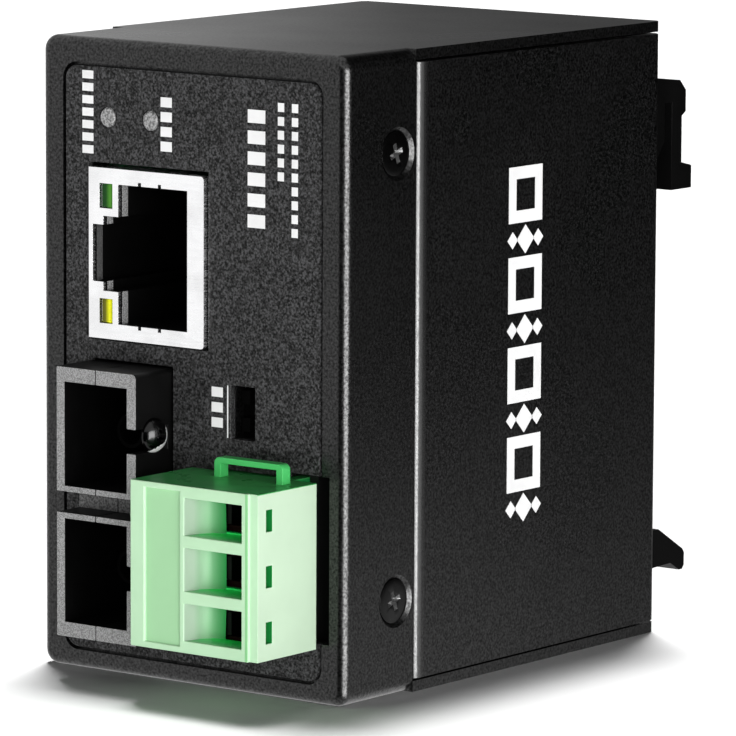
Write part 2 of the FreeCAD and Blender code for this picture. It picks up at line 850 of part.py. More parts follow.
def make_fibre_sleeves():
    """The ceramic sleeve in the middle of each port."""
    made = []
    for axis, word in zip(fibre_axes, ("lower", "upper")):
        piece = Piece(f"fibre_sleeve_{word}")
        nose = fibre_front + s.sleeve_front
        piece.turn("Y", (fibre_split, axis), [
            (nose, s.sleeve_inner), (nose, s.sleeve_outer), (fibre_bay_back, s.sleeve_outer),
            (optic_front, s.sleeve_outer), (optic_front, s.sleeve_inner)])
        made.append(piece)
    return made


def make_optics():
    """The transmitter can behind one port and the receiver can behind the other."""
    made = []
    for axis, name in zip(fibre_axes, ("laser_can", "receiver_can")):
        piece = Piece(name)
        rear = optic_front + s.optic_length
        piece.turn("Y", (fibre_split, axis), [
            (optic_front, 0), (optic_front, s.optic_radius), (optic_front + 1.2, s.optic_radius),
            (optic_front + 1.2, s.optic_radius - 0.6), (rear - 1.0, s.optic_radius - 0.6),
            (rear - 1.0, s.optic_radius - 0.1), (rear, s.optic_radius - 0.1), (rear, 0)])
        made.append(piece)
    return made


def make_optics_board():
    """The small board inside the transceiver, which the two cans' leads reach."""
    start = optic_front + s.optic_length
    return block("optics_board", (fibre_mouth_left + 0.3, fibre_mouth_right - 0.3),
                 (start, start + s.optics_board_thickness),
                 (s.fibre_low + s.fibre_outer_wall, fibre_high - s.fibre_outer_wall))


def make_shell_screw():
    """The bright domed screw head on the right wall of the upper port."""
    piece = Piece("fibre_shell_screw")
    y = fibre_front + 2.45
    z = fibre_upper_axis + 0.4
    piece.turn("X", (y, z), [(fibre_right, 0), (fibre_right, 1.6), (fibre_right + 0.5, 1.5),
                             (fibre_right + 0.95, 1.0), (fibre_right + 1.1, 0)])
    return piece


# ---------------------------------------------------------------- option switch

lever_z = [switch_middle - s.lever_pitch / 2, switch_middle + s.lever_pitch / 2]
lever_left = switch_left + 0.25
lever_slot_back = switch_face + 1.2


def make_option_switch():
    """The switch's moulded body, standing on the power board."""
    piece = Piece("option_switch")
    piece.pad("XZ", switch_face, switch_face + s.switch_length, [rect(
        switch_left - s.switch_rim, board_right, switch_low - s.switch_rim / 2,
        switch_high + s.switch_rim / 2)])
    piece.cut("XZ", switch_face, lever_slot_back, [rect(
        lever_left - 0.05, lever_left + s.lever_width + s.lever_travel + 0.05,
        z - s.lever_height / 2 - 0.05, z + s.lever_height / 2 + 0.05) for z in lever_z])
    return piece


def make_levers():
    """Two slide levers, reached through the slot in the front panel."""
    made = []
    for number, z in enumerate(lever_z, start=1):
        made.append(block(f"option_lever_{number}", (lever_left, lever_left + s.lever_width),
                          (switch_face - s.lever_proud, lever_slot_back - 0.05),
                          (z - s.lever_height / 2, z + s.lever_height / 2)))
    return made


# ---------------------------------------------------------------- power terminal

def make_header():
    """The fixed half of the power terminal, whose open shroud takes the plug."""
    piece = Piece("power_header")
    piece.pad("XZ", header_front, header_back,
              [rect(header_left, header_right, header_low, header_high)])
    piece.cut("XZ", header_front, header_bay_back,
              [rect(bay_left, bay_right, bay_low, bay_high)])
    piece.cut("XZ", header_bay_back, header_back,
              [square_about(pin_axis, z, s.pin_size, s.pin_size) for z in poles])
    return piece


def make_header_pins():
    """Three square pins, bent at the back towards the power board."""
    pins = []
    half = s.pin_size / 2
    tip = header_bay_back - s.pin_reach
    bend = header_back + s.pin_tail + s.pin_size
    for number, z in enumerate(poles, start=1):
        piece = Piece(f"header_pin_{number}")
        piece.pad("XY", z - half, z + half, [[
            (pin_axis - half, tip), (pin_axis + half, tip),
            (pin_axis + half, bend - s.pin_size),
            (board_right + s.power_board_thickness, bend - s.pin_size),
            (board_right + s.power_board_thickness, bend), (pin_axis - half, bend)]])
        pins.append(piece.body)
    return group("header_pins", pins)


clamp_bar_left = pin_axis + s.clamp_bar_gap
contact_thickness = 0.5
contact_back = insert_back - 0.6
cage_left = pin_axis
cage_right = funnel_right - 0.15
chamber_left = cage_left - s.clamp_travel - 0.3
clamp_head_right = plug_left + 0.5 + s.clamp_screw_head_height


def make_plug():
    """The pluggable half: three wire mouths, screw wells, test slots and a pull loop."""
    piece = Piece("terminal_plug")
    piece.pad("XZ", plug_front, plug_back, [rect(plug_left, plug_right, s.plug_low, plug_high)])
    piece.pad("XZ", plug_back, insert_back, [rect(insert_left, insert_right, s.plug_low, plug_high)])
    # stepped front: a sunk panel beside the wire mouths and lowered strips round them
    piece.cut("XZ", plug_front, plug_front + 0.3, [
        rect(plug_left + 1.6, funnel_left - 0.45, s.plug_low + 0.55, plug_high - 0.55),
        rect(funnel_right + 0.75, plug_right + 1, s.plug_low - 1, plug_high + 1)])
    # wire mouths: a shallow throat with a curved left wall, then the clamp chamber
    half_rib = s.funnel_wall / 2
    for number, z in enumerate(poles):
        low = z - s.pole_pitch / 2 + (s.funnel_wall if number == 0 else half_rib)
        high = z + s.pole_pitch / 2 - (s.funnel_wall if number == 2 else half_rib)
        throat = s.funnel_depth
        lean = clamp_bar_left - funnel_left
        piece.cut("XY", low, high, [[
            (funnel_left, plug_front - 1), (funnel_right, plug_front - 1),
            (funnel_right, plug_front + throat), (clamp_bar_left, plug_front + throat),
            (funnel_left + lean * 0.55, plug_front + throat * 0.82),
            (funnel_left + lean * 0.2, plug_front + throat * 0.5),
            (funnel_left, plug_front)]])
        half = s.cage_width / 2 + 0.1
        piece.cut("XY", z - half, z + half,
                  [rect(chamber_left, funnel_right, chamber_front, chamber_back)])
        # the contact's channel to the pin, open at the back
        piece.cut("XZ", chamber_back - 0.1, insert_back, [rect(
            pin_axis - s.pin_size / 2 - 0.15, clamp_bar_left + contact_thickness + 0.05,
            z - contact_half - 0.05, z + contact_half + 0.05)])
        # the screw's well on the left face
        piece.turn("X", (clamp_y, z), [
            (plug_left - 0.1, 0), (plug_left - 0.1, s.clamp_screw_head + 0.1),
            (clamp_head_right, s.clamp_screw_head + 0.1),
            (clamp_head_right, s.clamp_screw_shank + 0.08),
            (chamber_left + 0.1, s.clamp_screw_shank + 0.08), (chamber_left + 0.1, 0)],
            cutting=True)
    piece.cut("YZ", plug_right - 0.9, plug_right, [
        square_about(plug_front + 1.95, z, 0.85, 1.95) for z in poles])
    # pull loop on the top face, near the back
    loop_right = plug_right - s.loop_side
    loop_left = loop_right - s.loop_width
    loop_back = plug_back - s.loop_setback
    piece.pad("XZ", loop_back - s.loop_thickness, loop_back,
              [rect(loop_left, loop_right, plug_high, plug_high + s.loop_height)])
    piece.fillet(0.6, *[(x, loop_back - s.loop_thickness / 2, plug_high + s.loop_height)
                        for x in (loop_left, loop_right)])
    piece.cut("XZ", loop_back - s.loop_thickness, loop_back, [rect(
        loop_left + s.loop_bar, loop_right - s.loop_bar, plug_high,
        plug_high + s.loop_height - s.loop_bar * 0.75)])
    return piece


def make_clamps():
    """For each pole: the captive screw, the rising cage and the contact it pulls against."""
    made = []
    for number, z in enumerate(poles, start=1):
        screw = Piece(f"clamp_screw_{number}")
        head_left = plug_left + 0.5
        tip = clamp_bar_left - 0.05
        screw.turn("X", (clamp_y, z), [
            (head_left, 0), (head_left, s.clamp_screw_head),
            (clamp_head_right - 0.06, s.clamp_screw_head),
            (clamp_head_right - 0.06, s.clamp_screw_shank), (tip, s.clamp_screw_shank), (tip, 0)])
        screw.cut("YZ", head_left, head_left + 0.6, [rect(
            clamp_y - 0.25, clamp_y + 0.25, z - s.clamp_screw_head - 1,
            z + s.clamp_screw_head + 1)])
        cage = Piece(f"clamp_cage_{number}")
        low, high = z - s.cage_width / 2, z + s.cage_width / 2
        cage_front = clamp_y - s.cage_depth / 2
        cage.pad("XZ", cage_front, cage_front + s.cage_depth, [rect(cage_left, cage_right, low, high)])
        cage.cut("XZ", cage_front, cage_front + s.cage_depth, [rect(
            cage_left + s.cage_wall, cage_right - s.cage_wall,
            low + s.cage_wall, high - s.cage_wall)])
        cage.cut("YZ", cage_left, cage_left + s.cage_wall,
                 circles=[(clamp_y, z, s.clamp_screw_shank + 0.04)])
        contact = Piece(f"contact_{number}")
        half = s.pin_size / 2
        contact.pad("XY", z - contact_half, z + contact_half, [rect(
            clamp_bar_left, clamp_bar_left + contact_thickness,
            chamber_front + 0.1, contact_back)])
        contact.pad("XY", z - half, z + half, [rect(
            pin_axis + half, clamp_bar_left, contact_back - s.contact_tail, contact_back)])
        made += [screw, cage, contact]
    return made


# ---------------------------------------------------------------- indicators

def make_light_pipes():
    """Two frosted light pipes, for the link and the power indicator."""
    made = []
    for x, word in zip(pipe_x, ("link", "power")):
        piece = Piece(f"light_pipe_{word}")
        tip = front + 0.05
        piece.turn("Y", (x, pipe_high), [
            (tip, 0), (tip, s.pipe_radius - 0.15), (tip + 0.15, s.pipe_radius),
            (wall_back + 0.05, s.pipe_radius), (wall_back + 0.05, s.pipe_radius + s.pipe_collar),
            (tip + s.pipe_length, s.pipe_radius + s.pipe_collar), (tip + s.pipe_length, 0)])
        made.append(piece)
    return made


def make_led_block():
    """The block that holds the two indicator lamps off the main board."""
    start = front + 0.05 + s.pipe_length
    half = s.pipe_radius + s.led_block_border - s.pipe_collar
    return block("led_block", (board_face, pipe_x[1] + half), (start, start + s.led_block_depth),
                 (pipe_high - half, pipe_high + half))


# ---------------------------------------------------------------- boards

def make_main_board():
    """The board on the left that carries the sockets."""
    piece = Piece("main_board")
    outer = board_face - s.main_board_thickness
    piece.pad("YZ", outer, board_face, [rect(board_front, board_back, board_low, board_high)])
    piece.cut("YZ", outer, board_face,
              circles=[(y, z, s.stud_radius + 0.2) for y, z in pillars])
    return piece


def make_power_board():
    """The board on the right that carries the terminal and the option switch."""
    piece = Piece("power_board")
    outer = board_right + s.power_board_thickness
    piece.pad("YZ", board_right, outer,
              [rect(board_front, board_back, board_low, board_high)])
    piece.cut("YZ", board_right, outer,
              circles=[(y, z, s.stud_radius + 0.2) for y, z in pillars])
    pin_y = header_back + s.pin_tail + s.pin_size / 2
    piece.cut("YZ", board_right, outer,
              [square_about(pin_y, z, s.pin_size, s.pin_size) for z in poles])
    return piece


def make_board_spacers():
    """Three hexagonal pillars between the boards, each with a stud through the main board."""
    made = []
    stud = s.main_board_thickness + s.stud_depth - 0.3
    for number, (y, z) in enumerate(pillars, start=1):
        piece = Piece(f"board_spacer_{number}")
        piece.pad("YZ", board_face, board_right, [hexagon(y, z, s.spacer_radius)])
        piece.pad("YZ", board_face - stud, board_face, circles=[(y, z, s.stud_radius)])
        piece.cut("YZ", board_right - 2 * s.stud_depth, board_right,
                  circles=[(y, z, s.stud_radius + s.stud_slack)])
        made.append(piece.body)
    return group("board_spacers", made)


def make_wall_standoffs():
    """Three hexagonal standoffs pressed onto the cover's left wall."""
    made = []
    for number, (y, z) in enumerate(pillars, start=1):
        piece = Piece(f"wall_standoff_{number}")
        outer = -cover_side + s.sheet
        inner = board_face - s.main_board_thickness
        piece.pad("YZ", outer, inner, [hexagon(y, z, s.spacer_radius)])
        piece.cut("YZ", inner - s.stud_depth, inner,
                  circles=[(y, z, s.stud_radius + s.stud_slack)])
        made.append(piece.body)
    return group("wall_standoffs", made)


def make_board_screws():
    """Three pan-head screws through the power board into the pillars."""
    made = []
    seat = board_right + s.power_board_thickness
    for number, (y, z) in enumerate(pillars, start=1):
        piece = Piece(f"board_screw_{number}")
        piece.turn("X", (y, z), [
            (seat - 2 * s.stud_depth + 0.5, 0), (seat - 2 * s.stud_depth + 0.5, s.stud_radius),
            (seat, s.stud_radius), (seat, s.stud_radius * 2),
            (seat + 1.2, s.stud_radius * 1.7), (seat + 1.2, 0)])
        phillips(piece, "YZ", seat + 0.5, seat + 1.2, (y, z), s.stud_radius * 1.1)
        made.append(piece.body)
    return group("board_screws", made)


def make_board_parts():
    """The larger parts on the two boards."""
    half_width = s.transformer_width / 2
    half_coil = s.coil_side / 2
    transformer_front = socket_back + s.transformer_gap
    chip_middle = (fibre_back + board_back) / 2
    coil_front = header_back + s.coil_gap
    made = [
        block("lan_transformer", (board_face, board_face + s.transformer_height),
              (transformer_front, transformer_front + s.transformer_length),
              (socket_middle - half_width, socket_middle + half_width)),
        block("media_chip", (board_face, board_face + s.chip_height),
              (chip_middle - s.chip_side / 2, chip_middle + s.chip_side / 2),
              (s.chip_low, s.chip_low + s.chip_side)),
        block("power_coil", (board_right - s.coil_height, board_right),
              (coil_front, coil_front + s.coil_side),
              (pole_middle - half_coil, pole_middle + half_coil)),
    ]
    neck = s.capacitor_radius - 0.3
    end = board_right - s.capacitor_length
    for number in (1, 2):
        piece = Piece(f"filter_capacitor_{number}")
        y = front + s.capacitor_front + (number - 1) * s.capacitor_pitch
        piece.turn("X", (y, socket_middle), [
            (end, 0), (end, neck), (end + 0.3, s.capacitor_radius),
            (board_right - 1.6, s.capacitor_radius), (board_right - 1.3, neck),
            (board_right - 1.0, s.capacitor_radius), (board_right, s.capacitor_radius),
            (board_right, 0)])
        made.append(piece)
    return made


# ---------------------------------------------------------------- rail clip

clip_side = s.clip_width / 2
clip_guide = s.latch_width / 2 + s.latch_slack
latch_near = back + s.clip_plate + s.latch_slack
latch_far = latch_near + s.latch_plate
latch_side = s.latch_width / 2
latch_seat = s.rail_edge - s.latch_slack


def make_rail_clip():
    """The moulded clip: a long top hook, two wedge lugs and the guides for the latch."""
    face = back
    leg_far = rail_rear + s.clip_leg
    foot_far = face + s.clip_reach
    head_far = leg_far + 0.65
    lug_far = face + s.clip_lug_reach
    piece = Piece("rail_clip")
    # plate and top hook in one profile, seen from the side
    piece.pad("YZ", -clip_side, clip_side, [[
        (face, clip_low), (face + s.clip_plate, clip_low),
        (face + s.clip_plate, rail_high - 0.9), (rail_face - 1.4, rail_high + 0.6),
        (rail_face, rail_high + 2.5), (rail_face, slot_top), (rail_rear, slot_top),
        (rail_rear, hook_foot), (foot_far, hook_foot), (foot_far, hook_foot + 2.2),
        (leg_far, hook_foot + 2.6), (leg_far, slot_top - 1.45), (head_far, slot_top - 1.05),
        (head_far, clip_top - 1.4), (head_far - 1.0, clip_top - 0.4),
        (rail_face - 1.4, clip_top), (face, clip_top)]])
    # a wedge lug at each side, hollowed below
    for sign in (1, -1):
        piece.pad("YZ", *span(sign, clip_side - s.clip_lug_width, clip_side), [[
            (face + s.clip_plate, clip_low), (face + 5.1, clip_low + 0.1),
            (face + 6.6, clip_low + 0.15), (lug_far - 0.85, s.clip_lug_low),
            (lug_far - 0.3, s.clip_lug_low), (lug_far, s.clip_lug_low + 0.4),
            (lug_far, s.clip_lug_top - 2.8), (lug_far - 0.3, s.clip_lug_top - 2.4),
            (face + 4.6, s.clip_lug_top), (face + s.clip_plate, s.clip_lug_top)]])
        # guides: ribs for the latch, whose faces the rail seats against
        piece.pad("XY", clip_low, hook_foot, [mirror(sign, rect(
            clip_guide, clip_guide + s.clip_guide_width, face + s.clip_plate, rail_face))])
        piece.pad("XY", clip_low, s.latch_top + 0.5, [mirror(sign, rect(
            clip_guide - s.clip_guide_lip, clip_guide, latch_far + s.latch_slack, rail_face))])
    # the stop that the latch's spring bears on
    stop = s.spring_reach + 0.3
    piece.pad("XZ", face + s.clip_plate, latch_far,
              [rect(-stop, stop, s.spring_stop - 1.0, s.spring_stop)])
    piece.cut("XZ", face, face + s.clip_plate,
              circles=[(0, z, s.screw_shank + 0.15) for z in clip_screw_places])
    return piece


def mirror(sign, loop):
    """A plan outline, or the same on the other side."""
    return [(sign * size(u), v) for u, v in loop]


def make_rail_latch():
    """The sliding latch: a plate with a window for its spring and a nose for the rail."""
    piece = Piece("rail_latch")
    window = s.spring_reach + 0.5
    piece.pad("XZ", latch_near, latch_far, [rect(-latch_side, latch_side, s.latch_low, s.latch_top)])
    piece.cut("XZ", latch_near, latch_far, [rect(
        -window, window, s.latch_low + 2.5, s.latch_top - s.latch_bridge)])
    nose_side = clip_guide - s.clip_guide_lip - s.latch_slack
    nose_far = rail_rear + 2.2
    nose_top = s.rail_edge + s.latch_lap
    web = latch_far + 1.2
    piece.pad("YZ", -nose_side, nose_side, [[
        (latch_far, s.latch_low), (nose_far, s.latch_low), (nose_far, latch_seat - 0.8),
        (rail_rear + 0.7, nose_top), (rail_rear, nose_top), (rail_rear, latch_seat),
        (web, latch_seat), (web, s.latch_low + 1.6), (latch_far, s.latch_low + 1.6)]])
    # the slot that a screwdriver pulls the latch down by
    piece.cut("XZ", web, nose_far, [rect(-3.2, 3.2, s.latch_low + 1.2, s.latch_low + 2.4)])
    return piece


def make_latch_spring():
    """A zigzag leaf between the clip's stop and the top of the latch's window."""
    low, high = s.spring_stop, s.latch_top - s.latch_bridge
    wire = s.spring_wire
    turns = 7
    step = (high - low - wire) / turns
    reach = s.spring_reach
    bars = [low + step * number for number in range(turns + 1)]
    outer, inner = [(reach, bars[0])], [(-reach, bars[0]), (-reach, bars[0] + wire)]
    for number in range(turns):
        if number % 2 == 0:
            outer += [(reach, bars[number + 1] + wire), (-reach + wire, bars[number + 1] + wire)]
            inner += [(reach - wire, bars[number] + wire), (reach - wire, bars[number + 1])]
        else:
            outer += [(-reach + wire, bars[number + 1]), (reach, bars[number + 1])]
            inner += [(-reach, bars[number]), (-reach, bars[number + 1] + wire)]
    outer[-1] = (-reach, bars[-1] + wire)
    inner.append((-reach, bars[-1]))
    piece = Piece("latch_spring")
    piece.pad("XZ", latch_near + 0.1, latch_near + 0.1 + s.spring_thickness,
              [outer + inner[::-1]])
    return piece


def make_clip_screws():
    """Two pan-head screws that hold the clip to the case's back."""
    made = []
    for number, z in enumerate(clip_screw_places, start=1):
        piece = Piece(f"clip_screw_{number}")
        seat = back + s.clip_plate
        tip = back - s.sheet - s.nut_height
        piece.turn("Y", (0, z), [
            (tip, 0), (tip, s.screw_shank), (seat, s.screw_shank), (seat, s.clip_screw_head),
            (seat + 1.4, s.clip_screw_head - 0.5), (seat + 1.4, 0)])
        phillips(piece, "XZ", seat + 0.6, seat + 1.4, (0, z), 1.3)
        made.append(piece)
    return made


# ---------------------------------------------------------------- all of it

def flat(things):
    """The pieces one by one, out of single pieces and lists."""
    for thing in things:
        if isinstance(thing, list):
            yield from flat(thing)
        else:
            yield thing


def make_all():
    return list(flat([
        make_front_housing(), make_front_panel(), make_rear_cover(), make_cover_screws(),
        make_socket_shield(), make_socket_insert(), make_socket_leds(), make_socket_contacts(),
        make_fibre_shells(), make_fibre_sleeves(), make_optics(), make_optics_board(),
        make_shell_screw(), make_option_switch(), make_levers(), make_header(),
        make_header_pins(), make_plug(), make_clamps(), make_light_pipes(), make_led_block(),
        make_main_board(), make_power_board(), make_board_spacers(), make_wall_standoffs(),
        make_board_screws(), make_board_parts(), make_rail_clip(), make_rail_latch(),
        make_latch_spring(), make_clip_screws()]))


def check_features():
    """Stops on a failed object, and on a cut that takes nothing away."""
    for made in doc.Objects:
        if "Invalid" in made.State or "Error" in made.State:
            raise RuntimeError(f"{made.Name} failed: {made.State}")
        if made.TypeId in ("PartDesign::Pocket", "PartDesign::Groove"):
            before = made.BaseFeature.Shape.Volume
            if made.Shape.Volume > before - 1e-6:
                raise RuntimeError(f"{made.Name} cuts nothing")


def main():
    pieces = [piece.body if isinstance(piece, Piece) else piece for piece in make_all()]
    doc.recompute()
    check_features()
    os.makedirs("parts", exist_ok=True)
    for piece in pieces:
        shape = piece.Shape
        if shape.isNull() or not shape.isValid():
            raise RuntimeError(f"{piece.Label} has no valid shape")
        shape.exportStep(f"parts/{piece.Label}.step")
        solids = len(shape.Solids)
        print(f"{piece.Label}: {solids} solid{'s' if solids > 1 else ''}, {shape.Volume:.1f} mm3")


main()
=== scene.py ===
"""Looks of the fibre media converter for 35 mm rail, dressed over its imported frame.

Lengths are in metres; MM turns the part's millimetres into them.  X is to the right
seen from the front, Y to the back, Z up, with the bottom plate at Z = 0.
"""

import json
from math import cos, pi, radians, sin

import bpy
from mathutils import Matrix, Vector


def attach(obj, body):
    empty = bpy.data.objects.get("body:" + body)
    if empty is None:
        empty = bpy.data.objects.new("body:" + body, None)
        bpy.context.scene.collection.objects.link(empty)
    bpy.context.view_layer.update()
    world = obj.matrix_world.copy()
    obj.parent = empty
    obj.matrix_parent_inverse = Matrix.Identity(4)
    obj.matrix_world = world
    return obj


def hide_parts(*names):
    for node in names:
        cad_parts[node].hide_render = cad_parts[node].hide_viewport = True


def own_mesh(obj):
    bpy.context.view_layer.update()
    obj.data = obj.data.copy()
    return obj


MM = 0.001
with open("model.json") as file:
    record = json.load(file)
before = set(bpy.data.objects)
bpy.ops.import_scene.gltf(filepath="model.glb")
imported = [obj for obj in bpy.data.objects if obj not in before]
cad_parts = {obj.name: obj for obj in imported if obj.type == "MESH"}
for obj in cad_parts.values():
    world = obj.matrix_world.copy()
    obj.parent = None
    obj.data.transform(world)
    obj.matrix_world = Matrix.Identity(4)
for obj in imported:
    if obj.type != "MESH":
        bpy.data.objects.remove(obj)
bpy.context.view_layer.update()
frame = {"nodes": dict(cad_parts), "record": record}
BODY_OF = {node: body for body, members in frame["record"]["behaviour"]["bodies"].items()
           for node in members}
scene = bpy.context.scene
scene.view_settings.view_transform = "Standard"

# places and sizes on the part, in millimetres
FRONT = -24.5
BAND_BACK = -14.25
COVER_SIDE = 17.95
SIDE_SKIN = 0.3
COVER_FRONT = min(corner.co.y for corner in frame["nodes"]["rear_cover"].data.vertices
                  if abs(corner.co.x) > (COVER_SIDE - SIDE_SKIN) * MM) / MM
EDGE_FADE = 1.3
COVER_SCREW_X, COVER_SCREW_Y = 17.56, -16.9
COVER_SCREW_HEIGHTS = (8.8, 49.7)
SHELL_SCREW_Y, SHELL_SCREW_Z = -27.11, 23.355
SOCKET_FRONT = -24.9
LENS_LEFT, LENS_RIGHT = -10.52, -8.97
YELLOW_LENS_LOW, GREEN_LENS_LOW = 32.77, 43.43
LENS_TALL = 2.3
FIBRE_FRONT, FIBRE_RIGHT, FIBRE_HIGH = -29.56, -2.35, 29.16
PLUG_FRONT, PLUG_RIGHT = -33.43, 14.7
PLUG_LOW, PLUG_HIGH = 5.11, 20.35
MOUTH_LEFT, MOUTH_RIGHT = 6.4, 13.05
SWITCH_LEFT, SWITCH_MIDDLE = 4.62, 25.85
INK, INK_GAP = 0.03, 0.005

# how near a place counts as on a plane, in millimetres, and how straight a face looks
# along an axis
NEAR = 0.02
FACING = 0.9

# the coat on the case's sheet metal, its grains in millimetres
COAT_GRAIN, COAT_DEPTH, COAT_ROUGHNESS = 0.24, 0.010, 0.27

# most of a noise field lies between these two values
NOISE_LOW, NOISE_HIGH = 0.3, 0.7


# ---------------------------------------------------------------- camera, floor and light

def direction(azimuth, elevation):
    """Unit vector from the part towards a compass place: 0 is the front, 90 the right."""
    across = cos(radians(elevation))
    return Vector((sin(radians(azimuth)) * across, -cos(radians(azimuth)) * across,
                   sin(radians(elevation))))


def place_camera():
    """A long lens, a little above the part and well round to its right."""
    azimuth, elevation, roll = 37.44, 8.16, 0.27
    aim = Vector((1.2, 0.5, 26.8)) * MM
    distance = 576.2 * MM
    back = direction(azimuth, elevation)
    right = Vector((cos(radians(azimuth)), sin(radians(azimuth)), 0))
    up = back.cross(right)
    tilt = Matrix.Rotation(radians(roll), 3, "Z")
    turned = Matrix((right, up, back)).transposed() @ tilt
    camera = bpy.data.objects.new("camera", bpy.data.cameras.new("camera"))
    camera.data.lens = 298.6
    camera.data.sensor_width = 36.0
    camera.data.clip_start = 0.01
    camera.matrix_world = Matrix.Translation(aim + back * distance) @ turned.to_4x4()
    scene.collection.objects.link(camera)
    scene.camera = camera


def softbox(name, azimuth, elevation, distance, width, height, radiance):
    """An area lamp that faces the part, as bright all over as the radiance says."""
    lamp = bpy.data.lights.new(name, "AREA")
    lamp.shape = "RECTANGLE"
    lamp.size = width
    lamp.size_y = height
    lamp.energy = radiance * pi * width * height
    box = bpy.data.objects.new(name, lamp)
    half_height = Vector((0, 0, 30)) * MM
    box.location = half_height + direction(azimuth, elevation) * distance
    box.rotation_euler = direction(azimuth, elevation).to_track_quat("Z", "Y").to_euler()
    box.visible_camera = False
    scene.collection.objects.link(box)
    return box


def only(*objects):
    """Select these objects alone and make the first one active."""
    bpy.ops.object.select_all(action="DESELECT")
    for each in objects:
        each.select_set(True)
    bpy.context.view_layer.objects.active = objects[0]


def settle(piece):
    """Move the object's place, turn and size into its mesh."""
    only(piece)
    bpy.ops.object.transform_apply(location=True, rotation=True, scale=True)


def light_path_mix(tree, unlit, lit):
    """One shader for the rays that see the background, another for the rest."""
    path = tree.nodes.new("ShaderNodeLightPath")
    seen = path.outputs["Is Camera Ray"]
    for kind in ("Is Glossy Ray", "Is Transmission Ray"):
        either = tree.nodes.new("ShaderNodeMath")
        either.operation = "MAXIMUM"
        tree.links.new(seen, either.inputs[0])
        tree.links.new(path.outputs[kind], either.inputs[1])
        seen = either.outputs[0]
    mix = tree.nodes.new("ShaderNodeMixShader")
    tree.links.new(seen, mix.inputs[0])
    tree.links.new(lit.outputs[0], mix.inputs[1])
    tree.links.new(unlit.outputs[0], mix.inputs[2])
    return mix


def make_world(ambient):
    """White where the background shows, a plain even grey as light."""
    world = bpy.data.worlds.new("studio")
    world.use_nodes = True
    tree = world.node_tree
    tree.nodes.clear()
    shown = tree.nodes.new("ShaderNodeBackground")
    shown.inputs["Color"].default_value = (1, 1, 1, 1)
    light = tree.nodes.new("ShaderNodeBackground")
    light.inputs["Color"].default_value = (ambient, ambient, ambient, 1)
    output = tree.nodes.new("ShaderNodeOutputWorld")
    tree.links.new(light_path_mix(tree, shown, light).outputs[0], output.inputs["Surface"])
    scene.world = world


def make_floor():
    """A pale floor that runs out past the view, and that the coat's gloss looks through."""
    bpy.ops.object.select_all(action="DESELECT")
    bpy.ops.mesh.primitive_plane_add(size=6, location=(0, 0, 0))
    floor = bpy.context.object
    floor.name = "floor"
    finish = Finish("floor_white", grey(0.94), 0.8, Specular_IOR_Level=0.1)
    floor.data.materials.append(finish.material)
    floor.visible_glossy = False
    floor.visible_shadow = False
    return floor


def light_floor(floor, key):
    """Steep light from behind for the floor alone, which keeps the part's soft shadow.

    The key light is kept off the floor in its turn.
    """
    lamp = softbox("floor_lamp", azimuth=216, elevation=77, distance=4.0,
                   width=0.66, height=0.66, radiance=136.0)
    alone = bpy.data.collections.new("floor_only")
    alone.objects.link(floor)
    lamp.light_linking.receiver_collection = alone
    spared = bpy.data.collections.new("all_but_floor")
    spared.objects.link(floor)
    spared.collection_objects[0].light_linking.link_state = "EXCLUDE"
    key.light_linking.receiver_collection = spared
    return lamp


def clear_shadow(lamp, pieces):
    """The small pieces behind the case throw no shadow on the floor."""
    passed = bpy.data.collections.new("no_floor_shadow")
    for piece in pieces:
        passed.objects.link(piece)
    for held in passed.collection_objects:
        held.light_linking.link_state = "EXCLUDE"
    lamp.light_linking.blocker_collection = passed


def card(name, azimuth, distance, low, width, height, sideways=0.0, glow=0.0):
    """A card that only gloss can see: dark ones keep the coat deep, bright ones draw edges.

    It hangs square to the azimuth from a height above the floor, moved sideways.
    """
    bpy.ops.object.select_all(action="DESELECT")
    bpy.ops.mesh.primitive_plane_add(size=1, location=(0, 0, 0))
    board = bpy.context.object
    board.name = name
    toward = direction(azimuth, 0)
    across = Vector((-toward.y, toward.x, 0))
    board.scale = (width, height, 1)
    board.location = toward * distance + across * sideways + Vector((0, 0, low + height / 2))
    board.rotation_euler = toward.to_track_quat("Z", "Y").to_euler()
    board.visible_camera = False
    board.visible_diffuse = False
    board.visible_transmission = False
    board.visible_shadow = False
    settle(board)
    finish = Finish(name, grey(0.0), 1.0, Specular_IOR_Level=0.0, Emission_Strength=1.0,
                    Emission_Color=(glow, glow, glow, 1))
    board.data.materials.append(finish.material)
    return finish


def make_cards():
    """The studio's cards; two of them fade, one towards its top, one to the camera's right."""
    card("card_edge", azimuth=68, distance=0.25, low=-0.14, width=0.22, height=0.26, glow=12.0)
    card("card_front", azimuth=8, distance=0.24, low=-0.14, width=0.24, height=0.26)
    right = card("card_right", azimuth=142.6, distance=0.085, low=-0.06, width=0.26, height=0.34,
                 sideways=-0.012)
    right.link(right.shades(right.along(2, -14, 46), (0.0, grey(0.55)), (0.3, grey(0.24)),
                            (0.6, grey(0.075)), (1.0, grey(0.004))),
               right.shader.inputs["Emission Color"])
    right.spread(right.along(0, 41, 82), 0.60, 1.15, "Emission Strength")
    back = card("card_back", azimuth=217.44, distance=0.18, low=0.0, width=0.58, height=0.40,
                sideways=-0.10)
    back.link(back.shades(back.along(0, -150, -90), (0.0, grey(0.75)), (0.4, grey(0.55)),
                          (0.75, grey(0.19)), (1.0, grey(0.135))),
              back.shader.inputs["Emission Color"])


# ---------------------------------------------------------------- materials

